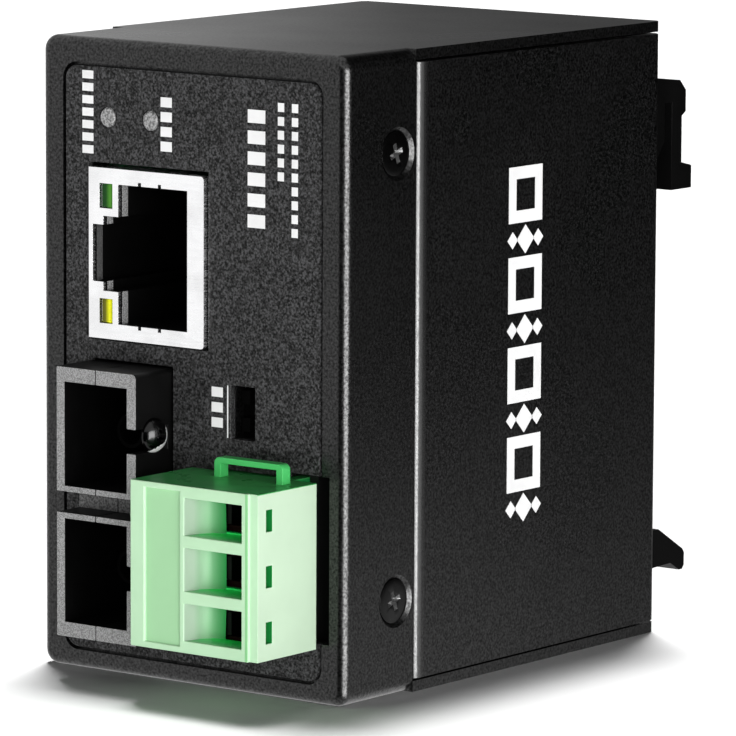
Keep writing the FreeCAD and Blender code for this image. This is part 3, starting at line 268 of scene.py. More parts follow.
class Finish:
    """A material in the making: a node tree around one Principled shader."""

    def __init__(self, name, colour, roughness, **values):
        self.material = bpy.data.materials.new(name)
        self.material.use_nodes = True
        self.tree = self.material.node_tree
        self.shader = self.tree.nodes["Principled BSDF"]
        self.set("Base Color", (*colour, 1))
        self.set("Roughness", roughness)
        for socket, value in values.items():
            self.set(socket.replace("_", " "), value)
        self.place = self.tree.nodes.new("ShaderNodeTexCoord").outputs["Object"]

    def set(self, socket, value):
        self.shader.inputs[socket].default_value = value

    def link(self, source, target):
        self.tree.links.new(source, target)

    def noise(self, size, detail=2.0, stretch=(1, 1, 1)):
        """A cloudy field whose patches are about this size."""
        field = self.tree.nodes.new("ShaderNodeTexNoise")
        field.inputs["Scale"].default_value = 1 / size
        field.inputs["Detail"].default_value = detail
        if stretch == (1, 1, 1):
            self.link(self.place, field.inputs["Vector"])
        else:
            mapping = self.tree.nodes.new("ShaderNodeMapping")
            mapping.inputs["Scale"].default_value = stretch
            self.link(self.place, mapping.inputs["Vector"])
            self.link(mapping.outputs[0], field.inputs["Vector"])
        return field.outputs["Fac"]

    def along(self, axis, start, end):
        """A field that rises from 0 to 1 between two places along an axis, in mm."""
        split = self.tree.nodes.new("ShaderNodeSeparateXYZ")
        self.link(self.place, split.inputs[0])
        rise = self.tree.nodes.new("ShaderNodeMapRange")
        rise.inputs["From Min"].default_value = start * MM
        rise.inputs["From Max"].default_value = end * MM
        self.link(split.outputs[axis], rise.inputs["Value"])
        return rise.outputs[0]

    def shades(self, field, *stops):
        """Colours along a field: each stop is a place and a colour."""
        ramp = self.tree.nodes.new("ShaderNodeValToRGB")
        while len(ramp.color_ramp.elements) < len(stops):
            ramp.color_ramp.elements.new(0.5)
        for element, (position, colour) in zip(ramp.color_ramp.elements, stops):
            element.position = position
            element.color = (*colour, 1)
        self.link(field, ramp.inputs[0])
        return ramp.outputs[0]

    def spread(self, field, low, high, socket="Roughness"):
        """A number between two ends, driven by a field."""
        spread = self.tree.nodes.new("ShaderNodeMapRange")
        spread.inputs["From Min"].default_value = NOISE_LOW
        spread.inputs["From Max"].default_value = NOISE_HIGH
        spread.inputs["To Min"].default_value = low
        spread.inputs["To Max"].default_value = high
        self.link(field, spread.inputs["Value"])
        self.link(spread.outputs[0], self.shader.inputs[socket])

    def bump(self, field, depth, strength=1.0):
        """Raise the surface by a field, to a real depth."""
        bump = self.tree.nodes.new("ShaderNodeBump")
        bump.inputs["Distance"].default_value = depth
        bump.inputs["Strength"].default_value = strength
        self.link(field, bump.inputs["Height"])
        self.link(bump.outputs[0], self.shader.inputs["Normal"])


def grey(value, blue=1.0):
    """A neutral colour, which a blue share over 1 makes a little cooler."""
    return (value, value, value * blue)


def powder_coat(name, dark, light, specular, size=COAT_GRAIN):
    """Black powder coat: pale grains in a darker ground, satin, glossier on the grains."""
    finish = Finish(name, grey(light), COAT_ROUGHNESS, Specular_IOR_Level=specular)
    grains = finish.noise(size * MM)
    middle = 0.7 * dark + 0.3 * light
    finish.link(finish.shades(grains, (0.34, grey(dark)), (0.50, grey(middle)),
                              (0.68, grey(light, 1.04))), finish.shader.inputs["Base Color"])
    finish.spread(grains, specular * 0.4, specular * 1.6, "Specular IOR Level")
    finish.spread(finish.noise(18 * MM), COAT_ROUGHNESS - 0.02, COAT_ROUGHNESS + 0.04)
    finish.bump(grains, COAT_DEPTH * MM)
    return finish.material


def painted_edge_highlight(name, start, end):
    """Painted highlight on the black coat over a cut edge: pale on its corner, dark again a
    little behind it.
    """
    finish = Finish(name, grey(0.009), COAT_ROUGHNESS, Specular_IOR_Level=0.42)
    finish.link(finish.shades(finish.along(1, start, end), (0.0, grey(0.16)), (0.13, grey(0.17)),
                              (0.17, grey(0.065)), (0.44, grey(0.05)), (0.6, grey(0.018)),
                              (1.0, grey(0.004))), finish.shader.inputs["Base Color"])
    grains = finish.noise(COAT_GRAIN * MM)
    finish.spread(grains, 0.17, 0.67, "Specular IOR Level")
    finish.bump(grains, COAT_DEPTH * MM)
    return finish.material


def moulded(name, colour, roughness=0.35, depth=0.004, size=0.12, tint=0.12, **values):
    """Injection-moulded plastic: a faint cloudy tint and a fine spark-eroded grain."""
    finish = Finish(name, colour, roughness, **values)
    low = tuple(channel * (1 - tint) for channel in colour)
    high = tuple(min(1, channel * (1 + tint)) for channel in colour)
    finish.link(finish.shades(finish.noise(4 * MM), (0.35, low), (0.65, high)),
                finish.shader.inputs["Base Color"])
    finish.spread(finish.noise(2.5 * MM), roughness - 0.04, roughness + 0.05)
    finish.bump(finish.noise(size * MM, 1.0), depth * MM, 0.6)
    return finish.material


def sparked(name, dark, light, size):
    """Coarse spark-eroded rims, which scatter the light in pale specks."""
    finish = Finish(name, grey(light), 0.5, Specular_IOR_Level=0.6)
    specks = finish.noise(size * MM)
    finish.link(finish.shades(specks, (0.38, grey(dark)), (0.62, grey(light))),
                finish.shader.inputs["Base Color"])
    finish.spread(finish.noise(1.5 * MM), 0.45, 0.58)
    finish.bump(specks, 0.02 * MM)
    return finish.material


def plated(name, colour, roughness=0.25, depth=0.002):
    """Plated sheet or wire: drawn one way, with soft changes of gloss."""
    finish = Finish(name, colour, roughness, Metallic=1.0)
    drawn = (1, 1, 12)
    low = tuple(channel * 0.9 for channel in colour)
    finish.link(finish.shades(finish.noise(3 * MM), (0.35, low), (0.6, colour)),
                finish.shader.inputs["Base Color"])
    finish.spread(finish.noise(2 * MM, stretch=drawn), roughness - 0.06, roughness + 0.1)
    finish.bump(finish.noise(0.4 * MM, stretch=drawn), depth * MM, 0.4)
    return finish.material


def laminate(name, mask, bare):
    """Glass laminate under a solder mask, with copper runs showing faintly through."""
    finish = Finish(name, mask, 0.3, Coat_Weight=0.3)
    finish.link(finish.shades(finish.noise(1.6 * MM, 0.0, (1, 1, 3)), (0.47, mask), (0.5, bare)),
                finish.shader.inputs["Base Color"])
    finish.bump(finish.noise(0.5 * MM, 1.0), 0.01 * MM, 0.4)
    return finish.material


def lens(name, *stops):
    """A cast lens: deep at its left end, with a painted glow at the right where the light
    gathers.
    """
    finish = Finish(name, stops[-1][1], 0.18, Specular_IOR_Level=0.15)
    finish.link(finish.shades(finish.along(0, LENS_LEFT, LENS_RIGHT), *stops),
                finish.shader.inputs["Base Color"])
    finish.spread(finish.noise(0.8 * MM), 0.14, 0.24)
    finish.bump(finish.noise(0.5 * MM, 1.0), 0.01 * MM, 0.5)
    return finish.material


def throat_green_painted_shade(name, *stops):
    """Painted shade in the wire mouths: their green gets deeper towards their backs."""
    finish = Finish(name, stops[0][1], 0.35, Specular_IOR_Level=0.3)
    finish.link(finish.shades(finish.along(1, PLUG_FRONT, PLUG_FRONT + 3.6), *stops),
                finish.shader.inputs["Base Color"])
    finish.spread(finish.noise(2.5 * MM), 0.30, 0.42)
    finish.bump(finish.noise(0.12 * MM, 1.0), 0.003 * MM, 0.5)
    return finish.material


def make_materials():
    """Every finish by its name: the record's slots, and the zones that pieces show besides."""
    made = (
        powder_coat("case_coat", dark=0.0001, light=0.005, specular=0.44),
        powder_coat("cover_coat", dark=0.0001, light=0.009, specular=0.42),
        powder_coat("panel_film", dark=0.006, light=0.062, specular=0.12, size=0.20),
        # painted highlight: the cover's cut front edge coloured pale, fading back into black
        painted_edge_highlight("edge_painted_highlight", COVER_FRONT, COVER_FRONT + EDGE_FADE),
        # painted shade: flat black without gloss for the faces beside the cover's gap
        moulded("gap_painted_shade", grey(0.0), 0.8, Specular_IOR_Level=0.0),
        moulded("print_white", grey(0.72), 0.5, depth=0.003, size=0.10, tint=0.04),
        moulded("screw_black", grey(0.001), 0.14, depth=0.002, Specular_IOR_Level=0.3),
        # painted glint: the screws' cross recesses coloured lighter than their dark heads
        moulded("recess_painted_glint", grey(0.05), 0.2, depth=0.002, Specular_IOR_Level=1.0),
        plated("shell_screw_chrome", grey(0.03), 0.16),
        # painted highlight: a pale crescent on the shell screw's lower far edge
        moulded("crescent_painted_highlight", grey(0.62), 0.3, depth=0.002, Specular_IOR_Level=0.8),
        plated("zinc_steel", grey(0.62, 1.02), 0.3),
        plated("shield_steel", grey(0.97, 1.01), 0.24, depth=0.0004),
        moulded("socket_black", grey(0.001), 0.5, Specular_IOR_Level=0.06),
        sparked("wall_speck", dark=0.06, light=0.30, size=0.12),
        sparked("wall_dark", dark=0.02, light=0.06, size=0.12),
        # painted glow: each lens colour brightens towards its right end
        lens("led_green_lens",
             (0.0, (0.002, 0.02, 0.002)), (0.45, (0.004, 0.05, 0.004)),
             (0.75, (0.06, 0.22, 0.02)), (1.0, (0.02, 0.10, 0.01))),
        lens("led_yellow_lens",
             (0.0, (0.05, 0.05, 0.004)), (0.4, (0.12, 0.12, 0.006)),
             (0.7, (0.80, 0.80, 0.01)), (1.0, (0.35, 0.36, 0.01))),
        plated("gold_wire", (0.50, 0.38, 0.14), 0.25),
        moulded("fibre_black", grey(0.001), 0.42, depth=0.012, size=0.2,
                Specular_IOR_Level=0.12),
        moulded("barrel_black", grey(0.001), 0.6, Specular_IOR_Level=0.04),
        sparked("rim_speck", dark=0.11, light=0.31, size=0.11),
        sparked("rim_dark", dark=0.02, light=0.13, size=0.2),
        plated("optic_can", grey(0.7), 0.3),
        laminate("board_green", mask=(0.01, 0.10, 0.035), bare=(0.02, 0.16, 0.05)),
        moulded("switch_black", grey(0.001), 0.6, Specular_IOR_Level=0.04),
        moulded("header_black", grey(0.005), 0.45, Specular_IOR_Level=0.3),
        moulded("terminal_green", (0.415, 0.635, 0.415), 0.45, depth=0.003, tint=0.02,
                Specular_IOR_Level=0.5),
        # painted shade: the plug's recessed front panel and the strip right of the mouths in
        # darker greens
        moulded("panel_green_painted_shade", (0.30, 0.545, 0.30), 0.5, depth=0.003, tint=0.02),
        moulded("frame_green_painted_shade", (0.21, 0.50, 0.22), 0.5, depth=0.003, tint=0.02),
        # painted light: the plug's right side in a paler, lighter green
        moulded("side_green_painted_light", (0.465, 0.615, 0.45), 0.55, tint=0.02),
        # painted shade: the plug's top and top loop in darker, deeper greens
        moulded("top_green_painted_shade", (0.05, 0.36, 0.09), 0.3, depth=0.002, tint=0.03),
        # painted shade: dark green in the plug's side slots
        moulded("slot_green_painted_shade", (0.005, 0.18, 0.03), 0.5, depth=0.002, tint=0.03,
                Specular_IOR_Level=0.2),
        moulded("loop_green_painted_shade", (0.06, 0.48, 0.12), 0.4, depth=0.002, tint=0.03,
                Specular_IOR_Level=0.3),
        # painted shade: the wire mouths' green deepens towards their backs
        throat_green_painted_shade("throat_green_painted_shade", (0.0, (0.34, 0.60, 0.34)), (0.25, (0.13, 0.60, 0.22)),
                     (0.6, (0.03, 0.80, 0.16))),
        throat_green_painted_shade("wall_green_painted_shade", (0.30, (0.30, 0.40, 0.30)), (0.62, (0.16, 0.36, 0.18)),
                     (0.9, (0.01, 0.24, 0.05))),
        # painted shade: tin plate and the clamp cages coloured near black, as they sit in shade
        # inside the plug and header
        plated("tin_plate", grey(0.02), 0.5),
        plated("clamp_dark", (0.016, 0.005, 0.005), 0.5),
        sparked("pipe_grey", dark=0.07, light=0.34, size=0.2),
        moulded("led_resin", grey(0.7)),
        moulded("chip_black", grey(0.03), 0.55),
        moulded("can_sleeve", (0.04, 0.05, 0.09), 0.3),
        moulded("clip_black", grey(0.002), 0.45, depth=0.010, size=0.16,
                Specular_IOR_Level=0.05),
        plated("spring_steel", grey(0.55, 1.02)),
    )
    return {material.name.split(".")[0]: material for material in made}


def slot_of(node):
    """The record's slot that a CAD node takes its finish from."""
    return frame["nodes"][node].data.materials[0].name.split(".")[0]


# ---------------------------------------------------------------- shaping

def pick_faces(piece, wanted):
    """Leave the piece in edit mode with just the faces that pass the test selected."""
    only(piece)
    bpy.ops.object.mode_set(mode="EDIT")
    bpy.ops.mesh.select_mode(type="FACE")
    bpy.ops.mesh.select_all(action="DESELECT")
    bpy.ops.object.mode_set(mode="OBJECT")
    for face in piece.data.polygons:
        face.select = wanted(face)
    bpy.ops.object.mode_set(mode="EDIT")


def pick_edges(piece, wanted):
    """The same for edges; the test gets the edge's two ends in millimetres."""
    only(piece)
    bpy.ops.object.mode_set(mode="EDIT")
    bpy.ops.mesh.select_mode(type="EDGE")
    bpy.ops.mesh.select_all(action="DESELECT")
    bpy.ops.object.mode_set(mode="OBJECT")
    points = piece.data.vertices
    for edge in piece.data.edges:
        edge.select = wanted(*(points[at].co / MM for at in edge.vertices))
    bpy.ops.object.mode_set(mode="EDIT")


def done():
    """Back to object mode."""
    bpy.ops.object.mode_set(mode="OBJECT")


def finish_piece(piece, finish, body, smooth=38):
    """Shade a new piece, give it its finish and let it ride on its body."""
    only(piece)
    bpy.ops.object.shade_smooth_by_angle(angle=radians(smooth))
    bpy.ops.object.modifier_add(type="WEIGHTED_NORMAL")
    piece.modifiers[-1].keep_sharp = True
    bpy.ops.object.modifier_apply(modifier=piece.modifiers[-1].name)
    piece.data.materials.clear()
    piece.data.materials.append(finish)
    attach(piece, body)


def soften(piece, width, segments=2, angle=40):
    """Round all the sharp edges a little."""
    softened = piece.modifiers.new("softened", "BEVEL")
    softened.width = width
    softened.segments = segments
    softened.limit_method = "ANGLE"
    softened.angle_limit = radians(angle)
    only(piece)
    bpy.ops.object.modifier_apply(modifier="softened")


def cut_away(piece, cutter):
    """Take one solid out of another and drop the cutter."""
    taken = piece.modifiers.new("taken", "BOOLEAN")
    taken.operation = "DIFFERENCE"
    taken.object = cutter
    taken.solver = "EXACT"
    only(piece)
    bpy.ops.object.modifier_apply(modifier="taken")
    bpy.data.objects.remove(cutter)


# ---------------------------------------------------------------- dressed pieces

def copied(node):
    """The node's own shape as one closed mesh of whole faces, ready to be dressed."""
    piece = bpy.data.objects.new(node + "_dressed", frame["nodes"][node].data.copy())
    scene.collection.objects.link(piece)
    only(piece)
    bpy.ops.mesh.customdata_custom_splitnormals_clear()
    bpy.ops.object.mode_set(mode="EDIT")
    bpy.ops.mesh.select_all(action="SELECT")
    bpy.ops.mesh.remove_doubles(threshold=0.002 * MM)
    bpy.ops.mesh.dissolve_limited(angle_limit=radians(1.0))
    done()
    return piece


def repaint(piece, finish, wanted):
    """Another finish for the faces whose middle, in millimetres, and normal pass a test."""
    piece.data.materials.append(finish)
    for face in piece.data.polygons:
        if wanted(face.center / MM, face.normal):
            face.material_index = len(piece.data.materials) - 1


def dress(piece, node, finishes, bevel=0.0, zones=()):
    """Put a shaped copy in place of its node: edges softened, finish on, zones repainted."""
    slot = slot_of(node)
    if bevel:
        soften(piece, bevel * MM)
    finish_piece(piece, finishes[slot], BODY_OF[node])
    for name, wanted in zones:
        repaint(piece, finishes[name], wanted)
    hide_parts(node)
    return piece


def parted(piece, axis, *places):
    """Part the faces where planes across an axis meet them, so that zones can end there."""
    for place in places:
        level = Vector((0, 0, 0))
        level[axis] = place * MM
        facing = Vector((0, 0, 0))
        facing[axis] = 1
        only(piece)
        bpy.ops.object.mode_set(mode="EDIT")
        bpy.ops.mesh.select_all(action="SELECT")
        bpy.ops.mesh.bisect(plane_co=level, plane_no=facing)
        done()


def dress_fibre_shell(node, finishes):
    """A half shell: speckled front rims and a rounded long edge over dark plain walls."""
    piece = copied(node)
    if node == "fibre_shell_right":
        pick_edges(piece, lambda a, b: abs(a.x - FIBRE_RIGHT) + abs(b.x - FIBRE_RIGHT) < NEAR
                   and abs(a.z - FIBRE_HIGH) + abs(b.z - FIBRE_HIGH) < NEAR)
        bpy.ops.mesh.bevel(offset=0.45 * MM, segments=5, affect="EDGES")
        done()
    rim, step = FIBRE_FRONT + 0.3, FIBRE_FRONT + 3.4
    return dress(piece, node, finishes, 0.06, zones=[
        ("rim_dark", lambda place, normal: normal.y < -FACING and place.y < step),
        ("rim_speck", lambda place, normal: normal.y < -FACING and place.y < rim)])


def dress_socket_insert(finishes):
    """The moulded body, whose left walls show a pale strip just behind the shield."""
    piece = copied("socket_insert")
    near, far = SOCKET_FRONT + 0.55, SOCKET_FRONT + 1.4
    parted(piece, 1, near, far)
    left_half, outer_wall = -8.0, -10.5

    def on_strip(place, normal):
        return normal.x > FACING and near < place.y < far and place.x < left_half

    return dress(piece, "socket_insert", finishes, zones=[
        ("wall_speck", on_strip),
        ("wall_dark", lambda place, normal: on_strip(place, normal) and place.x < outer_wall)])


def dress_plug(finishes):
    """The green plug: matt outside, glossier in the wire mouths and slots, with painted light
    and shade: a lighter right side, a darker top, loop, front recess and frame strip, and
    painted shade that deepens the green in the mouths and slots.
    """
    roof = PLUG_HIGH - 0.3
    floor = PLUG_LOW + 0.3
    slot_middle, slot_half, slot_deep = PLUG_FRONT + 1.95, 0.5, 1.0
    panel_face = PLUG_FRONT + 0.3
    frame_edge = MOUTH_RIGHT + 0.42

    def in_mouth(place, normal):
        return (MOUTH_LEFT - 0.1 < place.x < MOUTH_RIGHT + 0.1 and place.y > PLUG_FRONT + 0.12
                and floor < place.z < roof)

    def in_slot(place, normal):
        return (PLUG_RIGHT - slot_deep < place.x < PLUG_RIGHT - 0.05
                and abs(place.y - slot_middle) < slot_half and place.z < roof)

    piece = copied("terminal_plug")
    parted(piece, 0, frame_edge)
    # the zones below are painted light and shade on one green plastic
    return dress(piece, "terminal_plug", finishes, 0.10, zones=[
        ("side_green_painted_light", lambda place, normal: normal.x > FACING and place.x > PLUG_RIGHT - 0.1),
        ("panel_green_painted_shade", lambda place, normal: normal.y < -FACING and place.x < MOUTH_LEFT
         and abs(place.y - panel_face) < 0.05),
        ("frame_green_painted_shade", lambda place, normal: normal.y < -FACING
         and abs(place.y - PLUG_FRONT) < 0.05 and place.x > frame_edge),
        ("top_green_painted_shade", lambda place, normal: place.z > PLUG_HIGH - 0.2 and normal.y > -FACING
         and place.y > panel_face),
        ("loop_green_painted_shade", lambda place, normal: place.z > PLUG_HIGH + 0.05),
        ("slot_green_painted_shade", in_slot),
        ("throat_green_painted_shade", in_mouth),
        ("wall_green_painted_shade", lambda place, normal: in_mouth(place, normal) and normal.x > 0.3)])


def dress_housing(finishes):
    """The front half of the case; the band's back edges are rounded over the cover's gap, and
    their back-facing flanks carry painted shade in flat black.
    """
    piece = copied("front_housing")
    pick_edges(piece, lambda a, b: abs(a.y - BAND_BACK) + abs(b.y - BAND_BACK) < NEAR
               and min(abs(a.x), abs(b.x)) > COVER_SIDE - NEAR and abs(a.z - b.z) > 1)
    bpy.ops.mesh.bevel(offset=0.35 * MM, segments=4, affect="EDGES")
    done()
    # painted shade on the band's back-facing flanks beside the gap
    return dress(piece, "front_housing", finishes, 0.08, zones=[
        ("gap_painted_shade", lambda place, normal: normal.y > 0.4 and abs(place.y - BAND_BACK) < 0.4
         and abs(place.x) > COVER_SIDE - 1)])


def dress_cover(finishes):
    """The folded cover, whose cut front edges carry a painted highlight, pale on the corner and
    fading into the side's black.
    """
    piece = copied("rear_cover")
    fade_end = COVER_FRONT + EDGE_FADE
    parted(piece, 1, fade_end)
    # the pale faces along the front edge are a painted highlight
    return dress(piece, "rear_cover", finishes, 0.08, zones=[
        ("edge_painted_highlight", lambda place, normal: abs(normal.x) > 0.2 and place.y < fade_end
         and abs(place.x) > COVER_SIDE - SIDE_SKIN)])


def dress_latch_spring(finishes):
    """The zigzag spring, dressed and given a mesh of its own; on the part it closes up on its
    foot by as much as the latch is pulled.
    """
    piece = dress(copied("latch_spring"), "latch_spring", finishes)
    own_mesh(piece)


# ---------------------------------------------------------------- screws and lenses

def cross_recess(screw, face, reach, arm, depth):
    """Two tapered slots, one across the other, in a head that faces +X."""
    slant, narrow_end = 20, (1, 0.45, 0.7)
    for turned in (0, 90):
        bpy.ops.object.select_all(action="DESELECT")
        bpy.ops.mesh.primitive_cube_add(size=1, location=(0, 0, 0))
        slot = bpy.context.object
        slot.scale = (2 * depth * MM, 2 * reach * MM, 2 * arm * MM)
        settle(slot)
        pick_faces(slot, lambda side: side.normal.x < -FACING)
        bpy.ops.transform.resize(value=narrow_end)
        done()
        slot.rotation_euler = (radians(turned + slant), 0, 0)
        slot.location = (face * MM, 0, 0)
        settle(slot)
        cut_away(screw, slot)


def make_cover_screw():
    """One countersunk cross-head screw, pointing out to +X, with its rim at X = 0."""
    rim_radius, rim_thick = 2.04, 0.16
    cone, cone_share, shank = 0.75, 0.62, 2.0
    crown = ((0.5, 0.06), (0.7, 0.04))
    bpy.ops.object.select_all(action="DESELECT")
    bpy.ops.mesh.primitive_cylinder_add(vertices=48, radius=rim_radius * MM,
                                        depth=rim_thick * MM, rotation=(0, radians(90), 0),
                                        location=(-rim_thick / 2 * MM, 0, 0))
    screw = bpy.context.object
    screw.name = "cover_screw"
    settle(screw)
    pick_faces(screw, lambda face: face.normal.x < -FACING)
    bpy.ops.mesh.extrude_region_move(TRANSFORM_OT_translate={"value": (-cone * MM, 0, 0)})
    bpy.ops.transform.resize(value=(1, cone_share, cone_share))
    bpy.ops.mesh.extrude_region_move(TRANSFORM_OT_translate={"value": (-shank * MM, 0, 0)})
    done()
    pick_faces(screw, lambda face: face.normal.x > FACING)
    for inset, rise in crown:
        bpy.ops.mesh.inset(thickness=inset * MM)
        bpy.ops.transform.translate(value=(rise * MM, 0, 0))
    done()
    cross_recess(screw, face=0.12, reach=1.3, arm=0.3, depth=0.62)
    soften(screw, 0.05 * MM, 2, 35)
    return screw


def place_cover_screws(finishes):
    """Four of them: each copy has its own mesh and stands in a countersink."""
    screw = make_cover_screw()
    recess_floor, recess_reach = -0.53, 1.35
    for sign, word in ((1, "right"), (-1, "left")):
        for height, level in zip(COVER_SCREW_HEIGHTS, ("low", "high")):
            name = f"cover_screw_{word}_{level}"
            made = bpy.data.objects.new(name + "_dressed", screw.data.copy())
            scene.collection.objects.link(made)
            made.rotation_euler = (0, 0, 0 if sign > 0 else pi)
            made.location = Vector((sign * COVER_SCREW_X, COVER_SCREW_Y, height)) * MM
            settle(made)
            finish_piece(made, finishes["screw_black"], "case", 30)

            def in_recess(place, normal):
                off_axis = Vector((place.y - COVER_SCREW_Y, place.z - height)).length
                return (recess_floor < sign * place.x - COVER_SCREW_X < -NEAR
                        and off_axis < recess_reach)

            # painted glint in the cross recess
            repaint(made, finishes["recess_painted_glint"], in_recess)
            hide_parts(name)
    bpy.data.objects.remove(screw)


def make_shell_screw(finishes):
    """The dark domed screw on the fibre shell's right wall, with a painted highlight at its
    lower far edge and a painted glint in its cross recess.
    """
    radius, flatness = 1.6, 0.69
    bpy.ops.object.select_all(action="DESELECT")
    bpy.ops.mesh.primitive_uv_sphere_add(segments=48, ring_count=24, radius=radius * MM,
                                         rotation=(0, radians(90), 0))
    screw = bpy.context.object
    screw.name = "shell_screw_dome"
    settle(screw)
    bpy.ops.object.mode_set(mode="EDIT")
    bpy.ops.mesh.select_all(action="SELECT")
    bpy.ops.transform.resize(value=(flatness, 1, 1))
    bpy.ops.mesh.bisect(plane_co=(0, 0, 0), plane_no=(1, 0, 0), clear_inner=True, use_fill=True)
    done()
    cross_recess(screw, face=1.1, reach=0.9, arm=0.2, depth=0.6)
    soften(screw, 0.04 * MM, 2, 40)
    centre = Vector((FIBRE_RIGHT, SHELL_SCREW_Y, SHELL_SCREW_Z))
    screw.location = centre * MM
    settle(screw)
    finish_piece(screw, finishes["shell_screw_chrome"], "case", 32)
    shade_middle, shade_radius = Vector((-0.35, 0.25)), 1.14
    recess_top, recess_reach = 0.86, 0.95

    def in_painted_crescent(place, normal):
        off = (place - centre).yz
        return (off - shade_middle).length > shade_radius and off.x - 0.8 * off.y > 0.35

    def in_recess(place, normal):
        off = place - centre
        return off.yz.length < recess_reach and off.x < recess_top

    # painted highlight: the crescent faces take a pale finish
    repaint(screw, finishes["crescent_painted_highlight"], in_painted_crescent)
    # painted glint in the dome's cross recess
    repaint(screw, finishes["recess_painted_glint"], in_recess)
    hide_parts("fibre_shell_screw")


def make_lens(finishes, node, low):
    """A lens in the shield's window: its face is pillowed and its edges are soft."""
    set_back, long, clearance = 0.1, 6.2, 0.08
    front = SOCKET_FRONT + set_back
    wide, tall = LENS_RIGHT - LENS_LEFT - clearance, LENS_TALL - clearance
    bpy.ops.object.select_all(action="DESELECT")
    bpy.ops.mesh.primitive_cube_add(size=1)
    piece = bpy.context.object
    piece.name = node + "_lens"
    piece.scale = Vector((wide, long, tall)) * MM
    piece.location = Vector(((LENS_LEFT + LENS_RIGHT) / 2, front + long / 2,
                             low + LENS_TALL / 2)) * MM
    settle(piece)
    pick_faces(piece, lambda face: face.normal.y < -FACING)
    bpy.ops.transform.translate(value=(0, 0.1 * MM, 0))
    bpy.ops.mesh.inset(thickness=0.22 * MM)
    bpy.ops.transform.translate(value=(0, -0.08 * MM, 0))
    done()
    soften(piece, 0.1 * MM, 3, 15)
    slot = slot_of(node)
    finish_piece(piece, finishes[slot], "case", 50)
    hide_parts(node)


# ---------------------------------------------------------------- plain printed marks

def flat_bar(u, v, wide, tall):
    """A flat bar of ink with its middle at u to the right and v up."""
    bpy.ops.object.select_all(action="DESELECT")
    bpy.ops.mesh.primitive_plane_add(size=1, location=(u * MM, v * MM, 0))
    mark = bpy.context.object
    mark.scale = (wide * MM, tall * MM, 1)
    settle(mark)
    return mark


def bar_column(u, top, step, wide, tall, rows):
    """Equal bars under each other, from the top down."""
    return [flat_bar(u, top - step * row, wide, tall) for row in range(rows)]


def diamond(u, v, reach, turned=0.0, band=None):
    """A flat diamond, or turned by 45 degrees a square; with a band only its border."""
    bpy.ops.object.select_all(action="DESELECT")
    bpy.ops.mesh.primitive_circle_add(vertices=4, radius=reach * MM, fill_type="NGON",
                                      location=(u * MM, v * MM, 0),
                                      rotation=(0, 0, radians(turned)))
    mark = bpy.context.object
    settle(mark)
    if band:
        pick_faces(mark, lambda face: True)
        bpy.ops.mesh.inset(thickness=band * MM)
        bpy.ops.mesh.delete(type="FACE")
        done()
    return mark


def print_marks(name, marks, turned, place, finishes, slot):
    """Join flat marks, give the ink its thickness and lay them on a face of the case."""
    only(*marks)
    bpy.ops.object.join()
    ink = bpy.context.object
    ink.name = name
    body = ink.modifiers.new("ink", "SOLIDIFY")
    body.thickness = INK * MM
    body.offset = 1
    bpy.ops.object.modifier_apply(modifier="ink")
    ink.rotation_euler = turned
    ink.location = Vector(place) * MM
    settle(ink)
    finish_piece(ink, finishes["print_white"], "case")


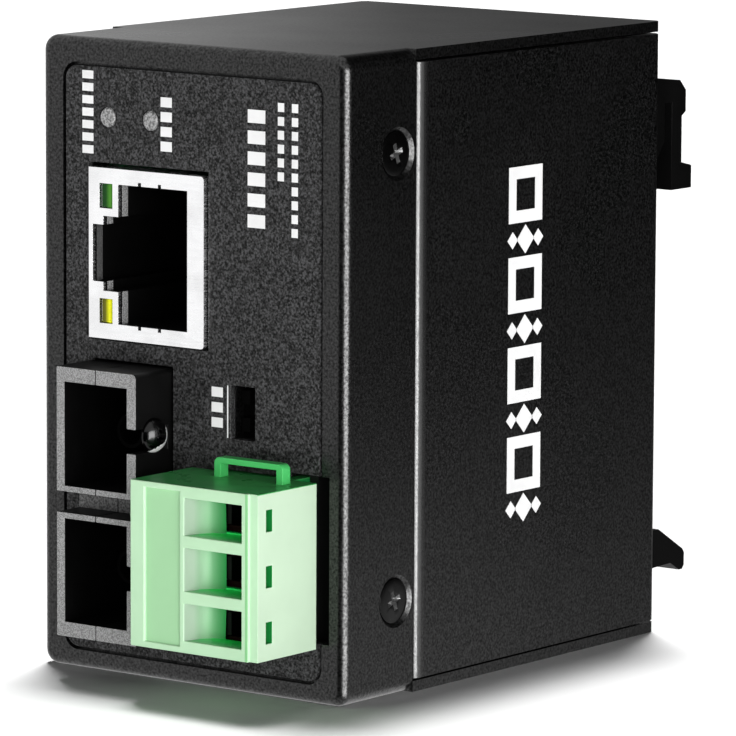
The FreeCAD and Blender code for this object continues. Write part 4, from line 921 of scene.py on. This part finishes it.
def make_marks(finishes):
    """Generic marks where the case is printed: bars, frames and diamonds."""
    quarter = radians(90)
    on_front = ((quarter, 0, 0), (0, FRONT - INK_GAP, 0), finishes, "panel_film")
    on_side = ((quarter, 0, quarter), (COVER_SIDE + INK_GAP, 0, 0), finishes, "cover_coat")
    print_marks("indicator_marks", bar_column(-12.2, 55.6, 1.15, 1.3, 0.75, rows=7)
                + bar_column(-2.9, 53.6, 1.35, 1.3, 0.9, rows=4), *on_front)
    print_marks("switch_marks", bar_column(3.1, SWITCH_MIDDLE + 1.7, 1.4, 1.3, 0.9, rows=3)
                + [flat_bar(SWITCH_LEFT - 0.3, SWITCH_MIDDLE, 0.12, 4.8)], *on_front)
    print_marks("panel_marks", bar_column(7.6, 53.0, 1.9, 2.0, 1.2, rows=6)
                + bar_column(10.4, 54.0, 1.25, 0.7, 0.8, rows=6)
                + bar_column(12.0, 54.0, 1.25, 0.7, 0.8, rows=10), *on_front)
    middle, aside, pitch = 2.5, 2.0, 8.4
    side = []
    for row in range(4):
        frame_height, gem_height = 44.4 - pitch * row, 40.2 - pitch * row
        side += [diamond(middle, frame_height, 3.7, turned=45, band=1.15),
                 diamond(middle, gem_height, 1.35),
                 diamond(middle - aside, gem_height, 0.8),
                 diamond(middle + aside, gem_height, 0.8)]
    print_marks("side_marks", side, *on_side)


# ---------------------------------------------------------------- all of it

def main():
    """Studio first, then finishes, dressed pieces and marks; last the nodes left as they are."""
    place_camera()
    make_world(ambient=0.10)
    floor = make_floor()
    key = softbox("key", azimuth=50, elevation=2, distance=1.0, width=0.9, height=0.56,
                  radiance=8.0)
    key.visible_glossy = False
    floor_lamp = light_floor(floor, key)
    make_cards()

    finishes = make_materials()
    slots = {node: slot_of(node) for node in frame["nodes"]}
    place_cover_screws(finishes)
    make_shell_screw(finishes)
    make_lens(finishes, "socket_led_yellow", YELLOW_LENS_LOW)
    make_lens(finishes, "socket_led_green", GREEN_LENS_LOW)
    dress_socket_insert(finishes)
    dress_fibre_shell("fibre_shell_left", finishes)
    dress_fibre_shell("fibre_shell_right", finishes)
    dress_plug(finishes)
    dress_housing(finishes)
    dress_cover(finishes)
    dress_latch_spring(finishes)
    bevels = {
        "front_panel": 0.12, "socket_shield": 0.04, "rail_clip": 0.2, "rail_latch": 0.15,
        "light_pipe_link": 0.0, "light_pipe_power": 0.0, "option_switch": 0.08,
        "option_lever_1": 0.08, "option_lever_2": 0.08, "clip_screw_1": 0.08,
        "clip_screw_2": 0.08,
    }
    pieces = {node: dress(copied(node), node, finishes, bevel)
              for node, bevel in bevels.items()}
    clear_shadow(floor_lamp, (pieces["rail_clip"], pieces["rail_latch"]))
    make_marks(finishes)
    for node in frame["nodes"]:
        for held in frame["nodes"][node].material_slots:
            held.material = finishes[slots[node]]


main()
